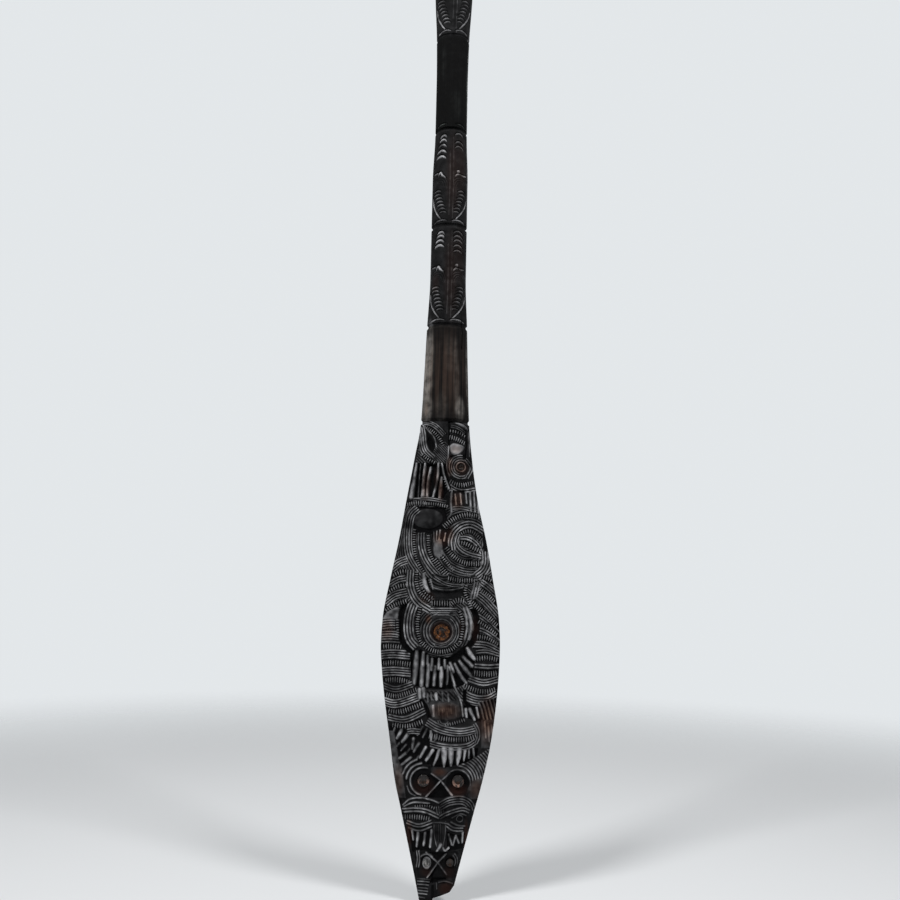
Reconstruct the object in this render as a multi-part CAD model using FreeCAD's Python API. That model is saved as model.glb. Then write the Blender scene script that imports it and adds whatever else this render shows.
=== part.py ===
import FreeCAD, Part
import math
import os

# Carved ceremonial paddle: one carved timber with small pieces set into the eyes of its figures.
# Millimetres. The paddle stands upright on its tip: Z runs up its length, the carved face looks to -Y,
# and heights are measured from the tip.

# Main lengths along the paddle
blade_length = 486.0           # from the tip to the collar groove
neck_length = 106.0            # plain neck, collar groove to the first ring groove
lower_panel_length = 113.5     # lower carved panel of the loom
upper_panel_length = 114.0     # upper carved panel of the loom
grip_length = 114.5            # plain grip between two ring grooves
head_length = 136.0            # butt head above the last ring groove

# Widths across the paddle, left to right
blade_width = 124.0            # at the blade's widest place
tip_width = 30.0
tip_shift = 0.5                # how far the tip's middle lies left of the paddle's
collar_width = 52.0
neck_middle_width = 47.6
neck_top_width = 44.0
panel_width = 39.4
grip_width = 35.8
head_start_width = 37.5
head_width = 43.5

# Thicknesses, front to back
tip_depth = 9.0
blade_depth = 18.4             # at the blade's widest place
collar_depth = 29.5
loom_depth = 31.0
head_depth = 32.0
butt_rounding = 8.0

# The blunt, worn tip: a narrow foot at the left, a slanting end beside it and a rounded corner
tip_foot_width = 12.5
tip_foot_height = 5.3
tip_slant = 17.5               # degrees
tip_slant_reach = 15.5         # from the foot across to where the corner starts
tip_corner_radius = 8.0
tip_corner_slant = 60.0        # degrees, where the corner runs out at the blade's edge

# Ring grooves round the loom
ring_groove_width = 5.0
ring_groove_depth = 1.5
ring_groove_overrun = 0.6      # of its width, from its middle to where the cut has left the timber

# Eyes. A ring lies on the shoulder of a stepped socket, and a peg stands in the deeper hole.
main_eye_height = 265.0
main_eye_side = 1.0
main_eye_ring_radius = 8.3
main_eye_pupil_radius = 4.8

spiral_eye_height = 437.5
spiral_eye_side = 17.9
spiral_eye_pupil_radius = 3.2

mask_eye_height = 117.5
mask_middle_side = 3.2
mask_eye_spacing = 35.0
mask_eye_ring_radius = 5.9
mask_eye_pupil_radius = 3.3

tip_eye_height = 39.0
tip_middle_side = 2.4
tip_eye_spacing = 23.4
tip_eye_pupil_radius = 3.6

ring_thickness = 2.0
ring_edge_radius = 0.4
ring_recess = 0.6              # the ring's face below the timber's face
peg_recess = 1.4               # the peg's face below the timber's face
peg_hole_depth = 4.6
peg_dish_depth = 0.5
peg_dish_share = 0.8           # radius of the dish as a share of the peg's
glue_gap = 0.05                # all round each inlaid piece

# Carving on the blade's face. Fine ridges and notches between these forms are surface work.
channel_width = 2.6
channel_depth = 1.3
field_depth = 3.2                           # of the cleared ground that fingers and teeth stand in

main_eye_channels = (11.8, 18.6)            # radii of the round channels about the main eye
eye_trench_half_width = 39.4                # middle of the deep trench round the main eye's figure
eye_trench_half_height = 29.0
eye_trench_width = 6.0
eye_trench_side = -2.0
eye_trench_top = 288.0

boss_height = 382.0
boss_side = -16.3
boss_half_width = 17.4
boss_half_height = 11.2
boss_channel_width = 1.8
spiral_height = 355.5
spiral_side = 26.5
spiral_channels = (6.5, 12.0, 17.0)

upper_hollow_height = 461.0                 # pupil of the slanting eye under the collar
upper_hollow_side = -15.5
upper_hollow_width = 6.8
upper_hollow_length = 18.0
upper_hollow_depth = 3.8
upper_hollow_lean = 18.0                   # degrees

# Cleared fields as (side, height) corners, and what stands in them: side at the top, side at the
# foot, width at the top, width at the foot, top, foot
upper_hand_field = ((-29.5, 441), (1.5, 440), (8, 415), (0, 404), (-31, 404))
upper_fingers = ((-21.0, -22.3, 3.4, 3.4, 443, 402), (-14.0, -17.4, 3.2, 2.6, 443, 402),
                 (-6.4, -11.6, 2.6, 2.4, 443, 402), (-2.6, -4.6, 2.8, 3.2, 426, 402))
lower_hand_field = ((-31, 243), (36, 240), (33, 222), (27, 212), (16, 209), (-26, 209))
lower_fingers = ((-25.0, -24.6, 4.6, 3.6, 245, 212), (-17.5, -18.0, 3.4, 3.8, 245, 211),
                 (-11.5, -12.4, 3.6, 3.0, 245, 207), (-5.0, -6.0, 3.4, 2.8, 245, 207),
                 (1.2, 1.2, 3.6, 3.0, 245, 207), (8.2, 7.4, 2.4, 2.4, 245, 212),
                 (9.6, 16.0, 2.8, 2.6, 245, 207), (14.0, 27.0, 3.2, 3.0, 245, 207),
                 (22.0, 33.0, 3.4, 3.0, 245, 222))
tooth_field = ((-8, 148.4), (41, 150), (40, 140), (28, 134), (10, 130), (-6, 130))
teeth = ((0.6, -4.0, 3.2, 2.0, 151, 133), (6.0, 6.2, 7.4, 1.8, 151, 131), (12.6, 13.2, 7.2, 1.8, 151, 131.5),
         (21.8, 20.0, 6.6, 1.8, 151, 134), (28.4, 27.0, 3.6, 1.8, 151, 138), (33.6, 34.4, 2.8, 2.0, 151, 139))

# Notched strips down both edges of the blade: height at the outer end, height at the inner end
strip_width = 6.0
strip_depth = 1.1
strip_margin = 3.0                          # uncut timber between a strip and the blade's edge
left_strips = ((320.5, 326), (303.5, 312.5), (283.5, 296), (247.6, 248), (231.4, 231.4), (215.2, 215.2),
               (201.8, 205), (186, 190.5))
left_strips_end = -34.0
right_strips = ((294, 309), (270.5, 290), (252, 260), (237.6, 238.4), (224.4, 223.6), (208.6, 206.4))
right_strips_end = 41.0

tongue_width = 10.5
tongue_top = 78.0
tongue_bottom = 51.0
tongue_slot_width = 2.8
tongue_slot_depth = 1.8
face_cross_depth = 1.6
face_cross_ridge = 2.4
face_cross_spread = 0.75                    # how far each arm goes sideways for each millimetre up
mask_cross_height = 119.0
mask_cross_reach = 24.0
tip_cross_height = 37.0
tip_cross_reach = 13.0

# Shape of the blade from tip to collar: share of its length, then left edge, right edge and
# thickness. The edges are shares of the way from nothing to the widest half.
blade_shape = (
    (0.064, 0.365, 0.362, 0.60),
    (0.181, 0.588, 0.608, 0.76),
    (0.243, 0.706, 0.740, 0.82),
    (0.323, 0.806, 0.872, 0.90),
    (0.403, 0.908, 0.952, 0.95),
    (0.465, 0.970, 0.988, 0.98),
    (0.515, 1.000, 1.000, 1.00),
    (0.570, 0.984, 0.980, 1.03),
    (0.655, 0.874, 0.872, 1.09),
    (0.741, 0.744, 0.746, 1.17),
    (0.829, 0.634, 0.588, 1.28),
    (0.918, 0.518, 0.482, 1.44),
)

neck_height = blade_length
first_ring = neck_height + neck_length
second_ring = first_ring + lower_panel_length
third_ring = second_ring + upper_panel_length
fourth_ring = third_ring + grip_length
overall_length = fourth_ring + head_length
ring_heights = (neck_height, first_ring, second_ring, third_ring, fourth_ring)

section_count = 60             # steps up the plank that its surface is drawn through

vector = FreeCAD.Vector
far_forward = -2.0 * max(loom_depth, blade_depth, head_depth)


def section(height, left, right, depth):
    """One oval cross-section of the timber, from its left edge to its right edge."""
    middle = vector((right - left) / 2, 0, height)
    oval = Part.Ellipse(middle, (left + right) / 2, depth / 2)
    return Part.Wire(oval.toShape())


def timber_stations():
    """Height, left edge, right edge and thickness at each place where the plank's shape is set."""
    half = blade_width / 2
    stations = [(0, tip_width / 2 + tip_shift, tip_width / 2 - tip_shift, tip_depth)]
    for share, left, right, depth in blade_shape:
        stations.append((share * blade_length, left * half, right * half, depth * blade_depth))
    for height, width, depth in (
            (neck_height, collar_width, collar_depth),
            ((neck_height + first_ring) / 2, neck_middle_width, loom_depth),
            (first_ring, neck_top_width, loom_depth),
            ((first_ring + second_ring) / 2, panel_width, loom_depth),
            ((second_ring + third_ring) / 2, panel_width, loom_depth),
            (third_ring, grip_width, loom_depth),
            ((third_ring + fourth_ring) / 2, grip_width, loom_depth),
            (fourth_ring, head_start_width, loom_depth),
            ((fourth_ring + overall_length) / 2, head_width, head_depth),
            (overall_length, head_width, head_depth)):
        stations.append((height, width / 2, width / 2, depth))
    return stations


def slope_at(places, values, number):
    """Slope of the smooth line at a station: level at a peak, so that nothing bulges past it."""
    if number in (0, len(places) - 1):
        near = min(number, len(places) - 2)
        return (values[near + 1] - values[near]) / (places[near + 1] - places[near])
    before = (values[number] - values[number - 1]) / (places[number] - places[number - 1])
    after = (values[number + 1] - values[number]) / (places[number + 1] - places[number])
    return 2 * before * after / (before + after) if before * after > 0 else 0.0


def timber_at(height):
    """Left edge, right edge and thickness of the uncarved plank at any height."""
    stations = timber_stations()
    places = [station[0] for station in stations]
    number = max(n for n in range(len(places) - 1) if places[n] <= height or n == 0)
    span = places[number + 1] - places[number]
    t = (height - places[number]) / span
    sizes = []
    for column in (1, 2, 3):
        values = [station[column] for station in stations]
        low, high = values[number], values[number + 1]
        low_slope, high_slope = slope_at(places, values, number), slope_at(places, values, number + 1)
        sizes.append(low * (1 + 2 * t) * (1 - t) ** 2 + high * t * t * (3 - 2 * t)
                     + span * (low_slope * t * (1 - t) ** 2 - high_slope * t * t * (1 - t)))
    return sizes


def plank(thinned):
    """The plank in the round with square ends, with its thickness less by some amount on each face.

    Its side is one surface of oval sections. Eight poles go round each oval, and a smooth line through
    the poles of all the sections runs up the plank for each of them.
    """
    corner = math.sqrt(0.5)
    around = ((1, 0, 1), (1, 1, corner), (0, 1, 1), (-1, 1, corner), (-1, 0, 1),
              (-1, -1, corner), (0, -1, 1), (1, -1, corner), (1, 0, 1))
    shares = [step / section_count for step in range(section_count + 1)]
    lines = []
    for across, back, weight in around:
        points = []
        for share in shares:
            left, right, depth = timber_at(share * overall_length)
            side = (right - left) / 2 + across * (left + right) / 2
            points.append(vector(side, back * (depth / 2 - thinned), share * overall_length))
        line = Part.BSplineCurve()
        line.interpolate(Points=points, Parameters=shares)
        lines.append(line)
    surface = Part.BSplineSurface()
    surface.buildFromPolesMultsKnots(
        [line.getPoles() for line in lines], (3, 2, 2, 2, 3), lines[0].getMultiplicities(),
        (0, 0.25, 0.5, 0.75, 1), lines[0].getKnots(), False, False, 2, lines[0].Degree,
        [[weight] * lines[0].NbPoles for across, back, weight in around])
    side_face = surface.toShape()
    end_edges = [edge for edge in side_face.Edges if edge.isClosed()]
    shell = Part.makeShell([side_face] + [Part.Face(Part.Wire([edge])) for edge in end_edges])
    shell.sewShape()
    return Part.makeSolid(shell)


def timber_blank():
    """The whole plank before anything is carved, its butt rounded over."""
    whole = plank(0)
    top_edges = [edge for edge in whole.Edges if edge.BoundBox.ZMin > overall_length / 2]
    return whole.makeFillet(butt_rounding, top_edges).Solids[0]


def front_at(side, height):
    """How far forward the uncarved face is at a place, as a Y coordinate."""
    left, right, depth = timber_at(height)
    across = (side - (right - left) / 2) / ((left + right) / 2)
    return -depth / 2 * math.sqrt(max(0.0, 1 - across ** 2))


def ring_groove(height):
    """A round-bottomed groove that follows the oval of the timber."""
    half_cut = ring_groove_width * ring_groove_overrun
    outside = -ring_groove_depth / 2
    waist = []
    for place, cut in ((height - half_cut, outside), (height, ring_groove_depth), (height + half_cut, outside)):
        left, right, depth = timber_at(place)
        waist.append(section(place, left - cut, right - cut, depth - 2 * cut))
    core = Part.makeLoft(waist, True, False)
    slab = Part.makeBox(blade_width, -far_forward, 2 * half_cut,
                        vector(-blade_width / 2, far_forward / 2, height - half_cut))
    return slab.cut(core)


def tip_end():
    """What wear and the slanting cut took from the tip, to the right of its narrow foot."""
    left = timber_at(0)[0]
    foot_right = tip_foot_width - left
    slant, steep = math.radians(tip_slant), math.radians(tip_corner_slant)
    corner_side = foot_right + tip_slant_reach
    corner_height = tip_foot_height + tip_slant_reach * math.tan(slant)
    round_side = corner_side - tip_corner_radius * math.sin(slant)
    round_height = corner_height + tip_corner_radius * math.cos(slant)

    def on_corner(direction):
        return vector(round_side + tip_corner_radius * math.sin(direction), far_forward,
                      round_height - tip_corner_radius * math.cos(direction))

    corner_start, corner_end = on_corner(slant), on_corner(steep)
    outside = corner_end + vector(math.cos(steep), 0, math.sin(steep)) * tip_width
    below = [vector(outside.x, far_forward, -1), vector(foot_right, far_forward, -1),
             vector(foot_right, far_forward, tip_foot_height)]
    rounded = Part.Arc(corner_start, on_corner((slant + steep) / 2), corner_end).toShape()
    straight = Part.makePolygon([corner_end, outside] + below + [corner_start])
    face = Part.Face(Part.Wire([rounded] + straight.Edges))
    return face.extrude(vector(0, -2 * far_forward, 0))


def cylinder_back(side, height, front, radius, length):
    """A cylinder that starts at the given Y and runs back into the timber."""
    return Part.makeCylinder(radius, length, vector(side, front, height), vector(0, 1, 0))


def eye_socket(side, height, ring_radius, pupil_radius):
    face = front_at(side, height)
    opening = face - far_forward
    hole = cylinder_back(side, height, far_forward, pupil_radius + glue_gap, opening + peg_hole_depth)
    if not ring_radius:
        return hole
    shoulder = ring_recess + ring_thickness
    seat = cylinder_back(side, height, far_forward, ring_radius + glue_gap, opening + shoulder)
    return seat.fuse(hole)


def eye_ring(side, height, ring_radius, pupil_radius):
    """A flat ring on the shoulder of the socket, its front edges broken."""
    front = front_at(side, height) + ring_recess
    ring = cylinder_back(side, height, front, ring_radius, ring_thickness)
    ring = ring.cut(cylinder_back(side, height, front - 1, pupil_radius + glue_gap, ring_thickness + 2))
    front_edges = [edge for edge in ring.Edges if edge.BoundBox.YMax < front + 0.01]
    return ring.makeFillet(ring_edge_radius, front_edges)


def eye_pupil(side, height, pupil_radius):
    """A round peg down to the bottom of its hole, with a shallow dish in its face."""
    face = front_at(side, height)
    front = face + peg_recess
    peg = cylinder_back(side, height, front, pupil_radius, face + peg_hole_depth - front)
    dish_width = peg_dish_share * pupil_radius
    dish_radius = (dish_width ** 2 + peg_dish_depth ** 2) / (2 * peg_dish_depth)
    dish = Part.makeSphere(dish_radius, vector(side, front + peg_dish_depth - dish_radius, height))
    return peg.cut(dish)


def oval_post(side, height, half_width, half_height):
    """An oval on the face, run straight forward out of the middle of the timber."""
    middle = vector(side, far_forward, height)
    ends = [middle + vector(half_width, 0, 0), middle + vector(0, 0, half_height)]
    ends.sort(key=lambda end: -end.distanceToPoint(middle))
    oval = Part.Face(Part.Wire([Part.Ellipse(ends[0], ends[1], middle).toShape()]))
    return oval.extrude(vector(0, -far_forward, 0))


def round_channel(side, height, half_width, half_height, width, floor):
    """A channel on the blade's face, round or oval in plan, down to a floor that follows the face."""
    half = width / 2
    outside = oval_post(side, height, half_width + half, half_height + half)
    return outside.cut(oval_post(side, height, half_width - half, half_height - half)).cut(floor)


def hollow(side, height, width, length, depth, lean=0):
    """A boat-shaped hollow: an ellipsoid sunk in the face, its foot leaning outwards by some degrees."""
    bowl = Part.makeSphere(1.0)
    place = FreeCAD.Matrix()
    place.scale(width / 2, depth, length / 2)
    place.rotateY(-math.radians(lean))
    place.move(vector(side, front_at(side, height), height))
    return bowl.transformGeometry(place)


def post(corners):
    """A straight-sided outline on the face, run forward out of the middle; corners are side, height."""
    points = [vector(side, far_forward, height) for side, height in corners]
    face = Part.Face(Part.makePolygon(points + points[:1]))
    return face.extrude(vector(0, -far_forward, 0))


def cleared_field(corners, standing, floor):
    """Ground sunk to a floor that follows the face, with tapered fingers or teeth left standing in it."""
    field = post(corners).cut(floor)
    for top_side, foot_side, top_width, foot_width, top, foot in standing:
        field = field.cut(post(((top_side - top_width / 2, top), (top_side + top_width / 2, top),
                                (foot_side + foot_width / 2, foot), (foot_side - foot_width / 2, foot))))
    return field


def edge_strip(outer_height, inner_height, inner_side, way, floor):
    """A shallow strip from near the blade's edge inwards; way is -1 at the left and 1 at the right."""
    left, right, depth = timber_at(outer_height)
    outer_side = way * ((right if way > 0 else left) - strip_margin)
    half = strip_width / 2
    return post(((outer_side, outer_height - half), (inner_side, inner_height - half),
                 (inner_side, inner_height + half), (outer_side, outer_height + half))).cut(floor)


def sunk_triangle(corners, depth):
    """A flat-bottomed three-cornered recess; corners are (side, height) pairs."""
    middle_side = sum(side for side, height in corners) / 3
    middle_height = sum(height for side, height in corners) / 3
    floor = front_at(middle_side, middle_height) + depth
    points = [vector(side, far_forward, height) for side, height in corners]
    face = Part.Face(Part.makePolygon(points + points[:1]))
    return face.extrude(vector(0, floor - far_forward, 0))


def face_cross(side, height, reach):
    """The recesses above and below the crossing brows of a mask; what is left is the crossed ridge."""
    gap = face_cross_ridge
    spread = face_cross_spread * reach
    recesses = []
    for way in (1, -1):
        corners = [(side, height + way * gap), (side - spread, height + way * (gap + reach)),
                   (side + spread, height + way * (gap + reach))]
        recesses.append(sunk_triangle(corners, face_cross_depth))
    return recesses


def carving():
    """Every cut in the blade's face, as a list of solids."""
    cuts = []
    floor = plank(channel_depth)
    deep_floor = plank(field_depth)
    strip_floor = plank(strip_depth)
    for radius in main_eye_channels:
        cuts.append(round_channel(main_eye_side, main_eye_height, radius, radius, channel_width, floor))
    for radius in spiral_channels:
        cuts.append(round_channel(spiral_side, spiral_height, radius, radius, channel_width, floor))
    cuts.append(round_channel(boss_side, boss_height, boss_half_width, boss_half_height,
                              boss_channel_width, floor))
    trench = round_channel(eye_trench_side, main_eye_height, eye_trench_half_width,
                           eye_trench_half_height, eye_trench_width, deep_floor)
    above = Part.makeBox(blade_width, -2 * far_forward, blade_length,
                         vector(-blade_width / 2, far_forward, eye_trench_top))
    cuts.append(trench.cut(above))
    cuts.append(cleared_field(upper_hand_field, upper_fingers, deep_floor))
    cuts.append(cleared_field(lower_hand_field, lower_fingers, deep_floor))
    cuts.append(cleared_field(tooth_field, teeth, deep_floor))
    for outer_height, inner_height in left_strips:
        cuts.append(edge_strip(outer_height, inner_height, left_strips_end, -1, strip_floor))
    for outer_height, inner_height in right_strips:
        cuts.append(edge_strip(outer_height, inner_height, right_strips_end, 1, strip_floor))
    for way in (-1, 1):
        cuts.append(hollow(mask_middle_side + way * tongue_width / 2, (tongue_top + tongue_bottom) / 2,
                           tongue_slot_width, tongue_top - tongue_bottom, tongue_slot_depth))
    cuts.append(hollow(upper_hollow_side, upper_hollow_height, upper_hollow_width,
                       upper_hollow_length, upper_hollow_depth, upper_hollow_lean))
    cuts += face_cross(mask_middle_side, mask_cross_height, mask_cross_reach)
    cuts += face_cross(tip_middle_side, tip_cross_height, tip_cross_reach)
    return cuts


eyes = {
    "main_eye": (main_eye_side, main_eye_height, main_eye_ring_radius, main_eye_pupil_radius),
    "spiral_eye": (spiral_eye_side, spiral_eye_height, 0, spiral_eye_pupil_radius),
}
for word, way in (("left", -1), ("right", 1)):
    mask_side = mask_middle_side + way * mask_eye_spacing / 2
    tip_side = tip_middle_side + way * tip_eye_spacing / 2
    eyes["mask_eye_" + word] = (mask_side, mask_eye_height, mask_eye_ring_radius, mask_eye_pupil_radius)
    eyes["tip_eye_" + word] = (tip_side, tip_eye_height, 0, tip_eye_pupil_radius)


def paddle_timber(blank):
    timber = blank.cut(tip_end())
    for height in ring_heights:
        timber = timber.cut(ring_groove(height))
    for cut in carving():
        timber = timber.cut(cut)
    for side, height, ring_radius, pupil_radius in eyes.values():
        timber = timber.cut(eye_socket(side, height, ring_radius, pupil_radius))
    return timber


def build():
    blank = timber_blank()
    pieces = {"paddle_timber": paddle_timber(blank)}
    for name, (side, height, ring_radius, pupil_radius) in eyes.items():
        if ring_radius:
            pieces[name + "_ring"] = eye_ring(side, height, ring_radius, pupil_radius)
        pieces[name + "_pupil"] = eye_pupil(side, height, pupil_radius)
    return pieces


os.makedirs("parts", exist_ok=True)
for name, shape in build().items():
    solid = shape.Solids[0] if len(shape.Solids) == 1 else shape
    solid.exportStep("parts/" + name + ".step")
    print(name, "valid", solid.isValid(), "solids", len(shape.Solids), "volume", round(solid.Volume, 1))
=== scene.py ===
import math

import bpy
import numpy as np
from mathutils import Matrix, Vector


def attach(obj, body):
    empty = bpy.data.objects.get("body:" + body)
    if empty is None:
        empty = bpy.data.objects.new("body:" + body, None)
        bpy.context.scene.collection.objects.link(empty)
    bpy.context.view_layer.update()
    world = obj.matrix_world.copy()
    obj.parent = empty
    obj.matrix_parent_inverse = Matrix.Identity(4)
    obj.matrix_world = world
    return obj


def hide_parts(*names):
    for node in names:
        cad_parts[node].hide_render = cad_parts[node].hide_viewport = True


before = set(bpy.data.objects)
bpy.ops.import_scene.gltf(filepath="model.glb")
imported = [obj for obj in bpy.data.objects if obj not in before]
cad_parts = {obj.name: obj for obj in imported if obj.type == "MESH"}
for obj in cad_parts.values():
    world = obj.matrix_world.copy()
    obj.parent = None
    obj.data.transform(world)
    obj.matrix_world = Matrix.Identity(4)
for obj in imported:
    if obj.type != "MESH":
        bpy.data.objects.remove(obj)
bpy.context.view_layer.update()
mm = 0.001

# The photographer's place. The paddle leaned back against a wall, so seen from the upright paddle the
# camera stands low in front of the blade and looks up. The butt of the paddle is above the picture.
camera_place = (5.9 * mm, -938.7 * mm, 311.7 * mm)
camera_looks_up = math.radians(8.8)
camera_roll = math.radians(1.15)
picture_half_width = 450
focal_length = 883             # in the same picture units
camera_data = bpy.data.cameras.new("photo_camera")
camera_data.sensor_fit = "HORIZONTAL"
camera_data.angle = 2 * math.atan(picture_half_width / focal_length)
camera_data.clip_start = 0.05
camera = bpy.data.objects.new("photo_camera", camera_data)
bpy.context.scene.collection.objects.link(camera)
camera.matrix_world = (Matrix.Translation(camera_place)
                       @ Matrix.Rotation(math.pi / 2 + camera_looks_up, 4, "X")
                       @ Matrix.Rotation(camera_roll, 4, "Z"))
bpy.context.scene.camera = camera


# The room: a plain pale floor that fades out into a pale surrounding, and soft lamps above.
# The floor is a thin sheet under the tip and isn't part of the paddle.
def empty_tree(owner):
    """The cleared node tree of a material or a world."""
    owner.use_nodes = True
    owner.node_tree.nodes.clear()
    return owner.node_tree


def add(tree, kind, inputs=(), **properties):
    """A new node; an input takes a value, or a link where it is given another node's output."""
    node = tree.nodes.new(kind)
    for name, value in properties.items():
        setattr(node, name, value)
    for name, value in dict(inputs).items():
        if isinstance(value, bpy.types.NodeSocket):
            tree.links.new(value, node.inputs[name])
        else:
            node.inputs[name].default_value = value
    return node


room_colour = (0.77, 0.80, 0.82, 1)
floor_colour = (0.70, 0.71, 0.72, 1)
floor_roughness = 0.7
floor_reach, floor_drop = 3.0, 0.0002
floor_fades_from, floor_fades_to = 0.7, 1.9
dim_side, wall_side = 0.05, 0.65
dim_until, pale_from = -0.5, 0.7

floor_material = bpy.data.materials.new("pale_floor")
tree = empty_tree(floor_material)
surface = add(tree, "ShaderNodeBsdfPrincipled", {"Base Color": floor_colour, "Roughness": floor_roughness})
clear = add(tree, "ShaderNodeBsdfTransparent")
place = add(tree, "ShaderNodeTexCoord")
distance = add(tree, "ShaderNodeVectorMath", {0: place.outputs["Object"]}, operation="LENGTH")
fade = add(tree, "ShaderNodeMapRange",
           {"Value": distance.outputs["Value"], "From Min": floor_fades_from, "From Max": floor_fades_to},
           interpolation_type="SMOOTHSTEP")
mix = add(tree, "ShaderNodeMixShader",
          {"Fac": fade.outputs["Result"], 1: surface.outputs[0], 2: clear.outputs[0]})
add(tree, "ShaderNodeOutputMaterial", {"Surface": mix.outputs[0]})
floor_mesh = bpy.data.meshes.new("floor")
floor_corners = [(x * floor_reach, y * floor_reach, -floor_drop)
                 for x, y in ((-1, -1), (1, -1), (1, 1), (-1, 1))]
floor_mesh.from_pydata(floor_corners, [], [(0, 1, 2, 3)])
floor_mesh.materials.append(floor_material)
floor = bpy.data.objects.new("floor", floor_mesh)
bpy.context.scene.collection.objects.link(floor)

world = bpy.data.worlds.new("pale_room")
bpy.context.scene.world = world
tree = empty_tree(world)
seen = add(tree, "ShaderNodeBackground", {"Color": room_colour, "Strength": 1.0})
# The wall behind the paddle is pale and lit; the room in front of it is dim.
way = add(tree, "ShaderNodeTexCoord")
parts = add(tree, "ShaderNodeSeparateXYZ", {0: way.outputs["Generated"]})
brightness = add(tree, "ShaderNodeMapRange",
                 {"Value": parts.outputs["Y"], "From Min": dim_until, "From Max": pale_from,
                  "To Min": dim_side, "To Max": wall_side},
                 interpolation_type="SMOOTHSTEP")
lighting = add(tree, "ShaderNodeBackground",
               {"Color": room_colour, "Strength": brightness.outputs["Result"]})
rays = add(tree, "ShaderNodeLightPath")
mix = add(tree, "ShaderNodeMixShader",
          {"Fac": rays.outputs["Is Camera Ray"], 1: lighting.outputs[0], 2: seen.outputs[0]})
add(tree, "ShaderNodeOutputWorld", {"Surface": mix.outputs[0]})

for name, lamp_place, aim_height, size, watts in (
        ("lamp_upper_left", (-0.8, -0.75, 1.7), 0.4, 0.35, 21),
        ("lamp_upper_right", (0.75, -0.6, 1.5), 0.4, 0.35, 13),
        ("lamp_behind", (0.2, 1.6, 1.8), 0.5, 0.9, 8)):
    lamp_data = bpy.data.lights.new(name, "AREA")
    lamp_data.shape = "DISK"
    lamp_data.size = size
    lamp_data.energy = watts
    lamp = bpy.data.objects.new(name, lamp_data)
    bpy.context.scene.collection.objects.link(lamp)
    lamp.location = lamp_place
    lamp.rotation_mode = "QUATERNION"
    lamp.rotation_quaternion = (Vector((0, 0, aim_height)) - lamp.location).to_track_quat("-Z", "Y")
bpy.context.scene.view_settings.view_transform = "Standard"


# The paddle's timber: one plank of black-stained hardwood, worked to a leaf-shaped blade, a neck, an
# oval loom and a butt head, with round-bottomed ring grooves between them. Sizes in millimetres,
# heights from the tip, x to the right of the middle, as seen on the carved face.
neck_height, first_ring, second_ring, third_ring, fourth_ring = 486.0, 592.0, 705.5, 819.5, 934.0
butt_height = 1070.0
ring_heights = (neck_height, first_ring, second_ring, third_ring, fourth_ring)
ring_groove_width, ring_groove_depth = 5.0, 1.5
butt_rounding = 8.0
tip_foot_right, tip_foot_height, tip_slant, tip_slant_reach = -3.0, 5.3, math.radians(17.5), 15.5
tip_corner_radius, tip_corner_slant = 8.0, math.radians(60)

blade_width, blade_depth = 124.0, 18.4
# share of the blade's length from the tip; left edge and right edge as shares of half the blade's width;
# thickness as a share of that at its widest place
blade_shape = (
    (0.064, 0.365, 0.362, 0.60), (0.181, 0.588, 0.608, 0.76), (0.243, 0.706, 0.740, 0.82),
    (0.323, 0.806, 0.872, 0.90), (0.403, 0.908, 0.952, 0.95), (0.465, 0.970, 0.988, 0.98),
    (0.515, 1.000, 1.000, 1.00), (0.570, 0.984, 0.980, 1.03), (0.655, 0.874, 0.872, 1.09),
    (0.741, 0.744, 0.746, 1.17), (0.829, 0.634, 0.588, 1.28), (0.918, 0.518, 0.482, 1.44))
# height, width and thickness from the collar groove up
shaft_shape = (
    (neck_height, 52.0, 29.5), ((neck_height + first_ring) / 2, 47.6, 31.0), (first_ring, 44.0, 31.0),
    ((first_ring + second_ring) / 2, 39.4, 31.0), ((second_ring + third_ring) / 2, 39.4, 31.0),
    (third_ring, 35.8, 31.0), ((third_ring + fourth_ring) / 2, 35.8, 31.0), (fourth_ring, 37.5, 31.0),
    ((fourth_ring + butt_height) / 2, 43.5, 32.0), (butt_height, 43.5, 32.0))
plank_stations = np.array(
    [(0, 15.5, 14.5, 9.0)]
    + [(share * neck_height, left * blade_width / 2, right * blade_width / 2, depth * blade_depth)
       for share, left, right, depth in blade_shape]
    + [(height, width / 2, width / 2, depth) for height, width, depth in shaft_shape])


def smooth_through(places, values, at):
    """A smooth line through the values that never bulges past them."""
    steps = np.diff(values) / np.diff(places)
    slopes = np.empty(len(values))
    slopes[0], slopes[-1] = steps[0], steps[-1]
    before, after = steps[:-1], steps[1:]
    total = np.where(before + after == 0, 1, before + after)
    slopes[1:-1] = np.where(before * after > 0, 2 * before * after / total, 0)
    number = np.clip(np.searchsorted(places, at, side="right") - 1, 0, len(places) - 2)
    span = places[number + 1] - places[number]
    t = (at - places[number]) / span
    low, high = values[number], values[number + 1]
    return (low * (1 + 2 * t) * (1 - t) ** 2 + high * t * t * (3 - 2 * t)
            + span * (slopes[number] * t * (1 - t) ** 2 - slopes[number + 1] * t * t * (1 - t)))


plank_heights = np.arange(0, butt_height + 0.5, 0.5)
plank_left, plank_right, plank_depth = (
    smooth_through(plank_stations[:, 0], plank_stations[:, column], plank_heights) for column in (1, 2, 3))


def plank_at(height):
    """Middle, half width and half thickness of the uncarved plank at each height."""
    left = np.interp(height, plank_heights, plank_left)
    right = np.interp(height, plank_heights, plank_right)
    depth = np.interp(height, plank_heights, plank_depth)
    return (right - left) / 2, (left + right) / 2, depth / 2


def ring_cut(height):
    """How deep the ring grooves go at each height."""
    cut = np.zeros_like(height)
    for ring in ring_heights:
        across = np.clip(np.abs(height - ring) / (ring_groove_width / 2), 0, 1)
        cut = np.maximum(cut, ring_groove_depth * np.sqrt(1 - across ** 2))
    return cut


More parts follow.
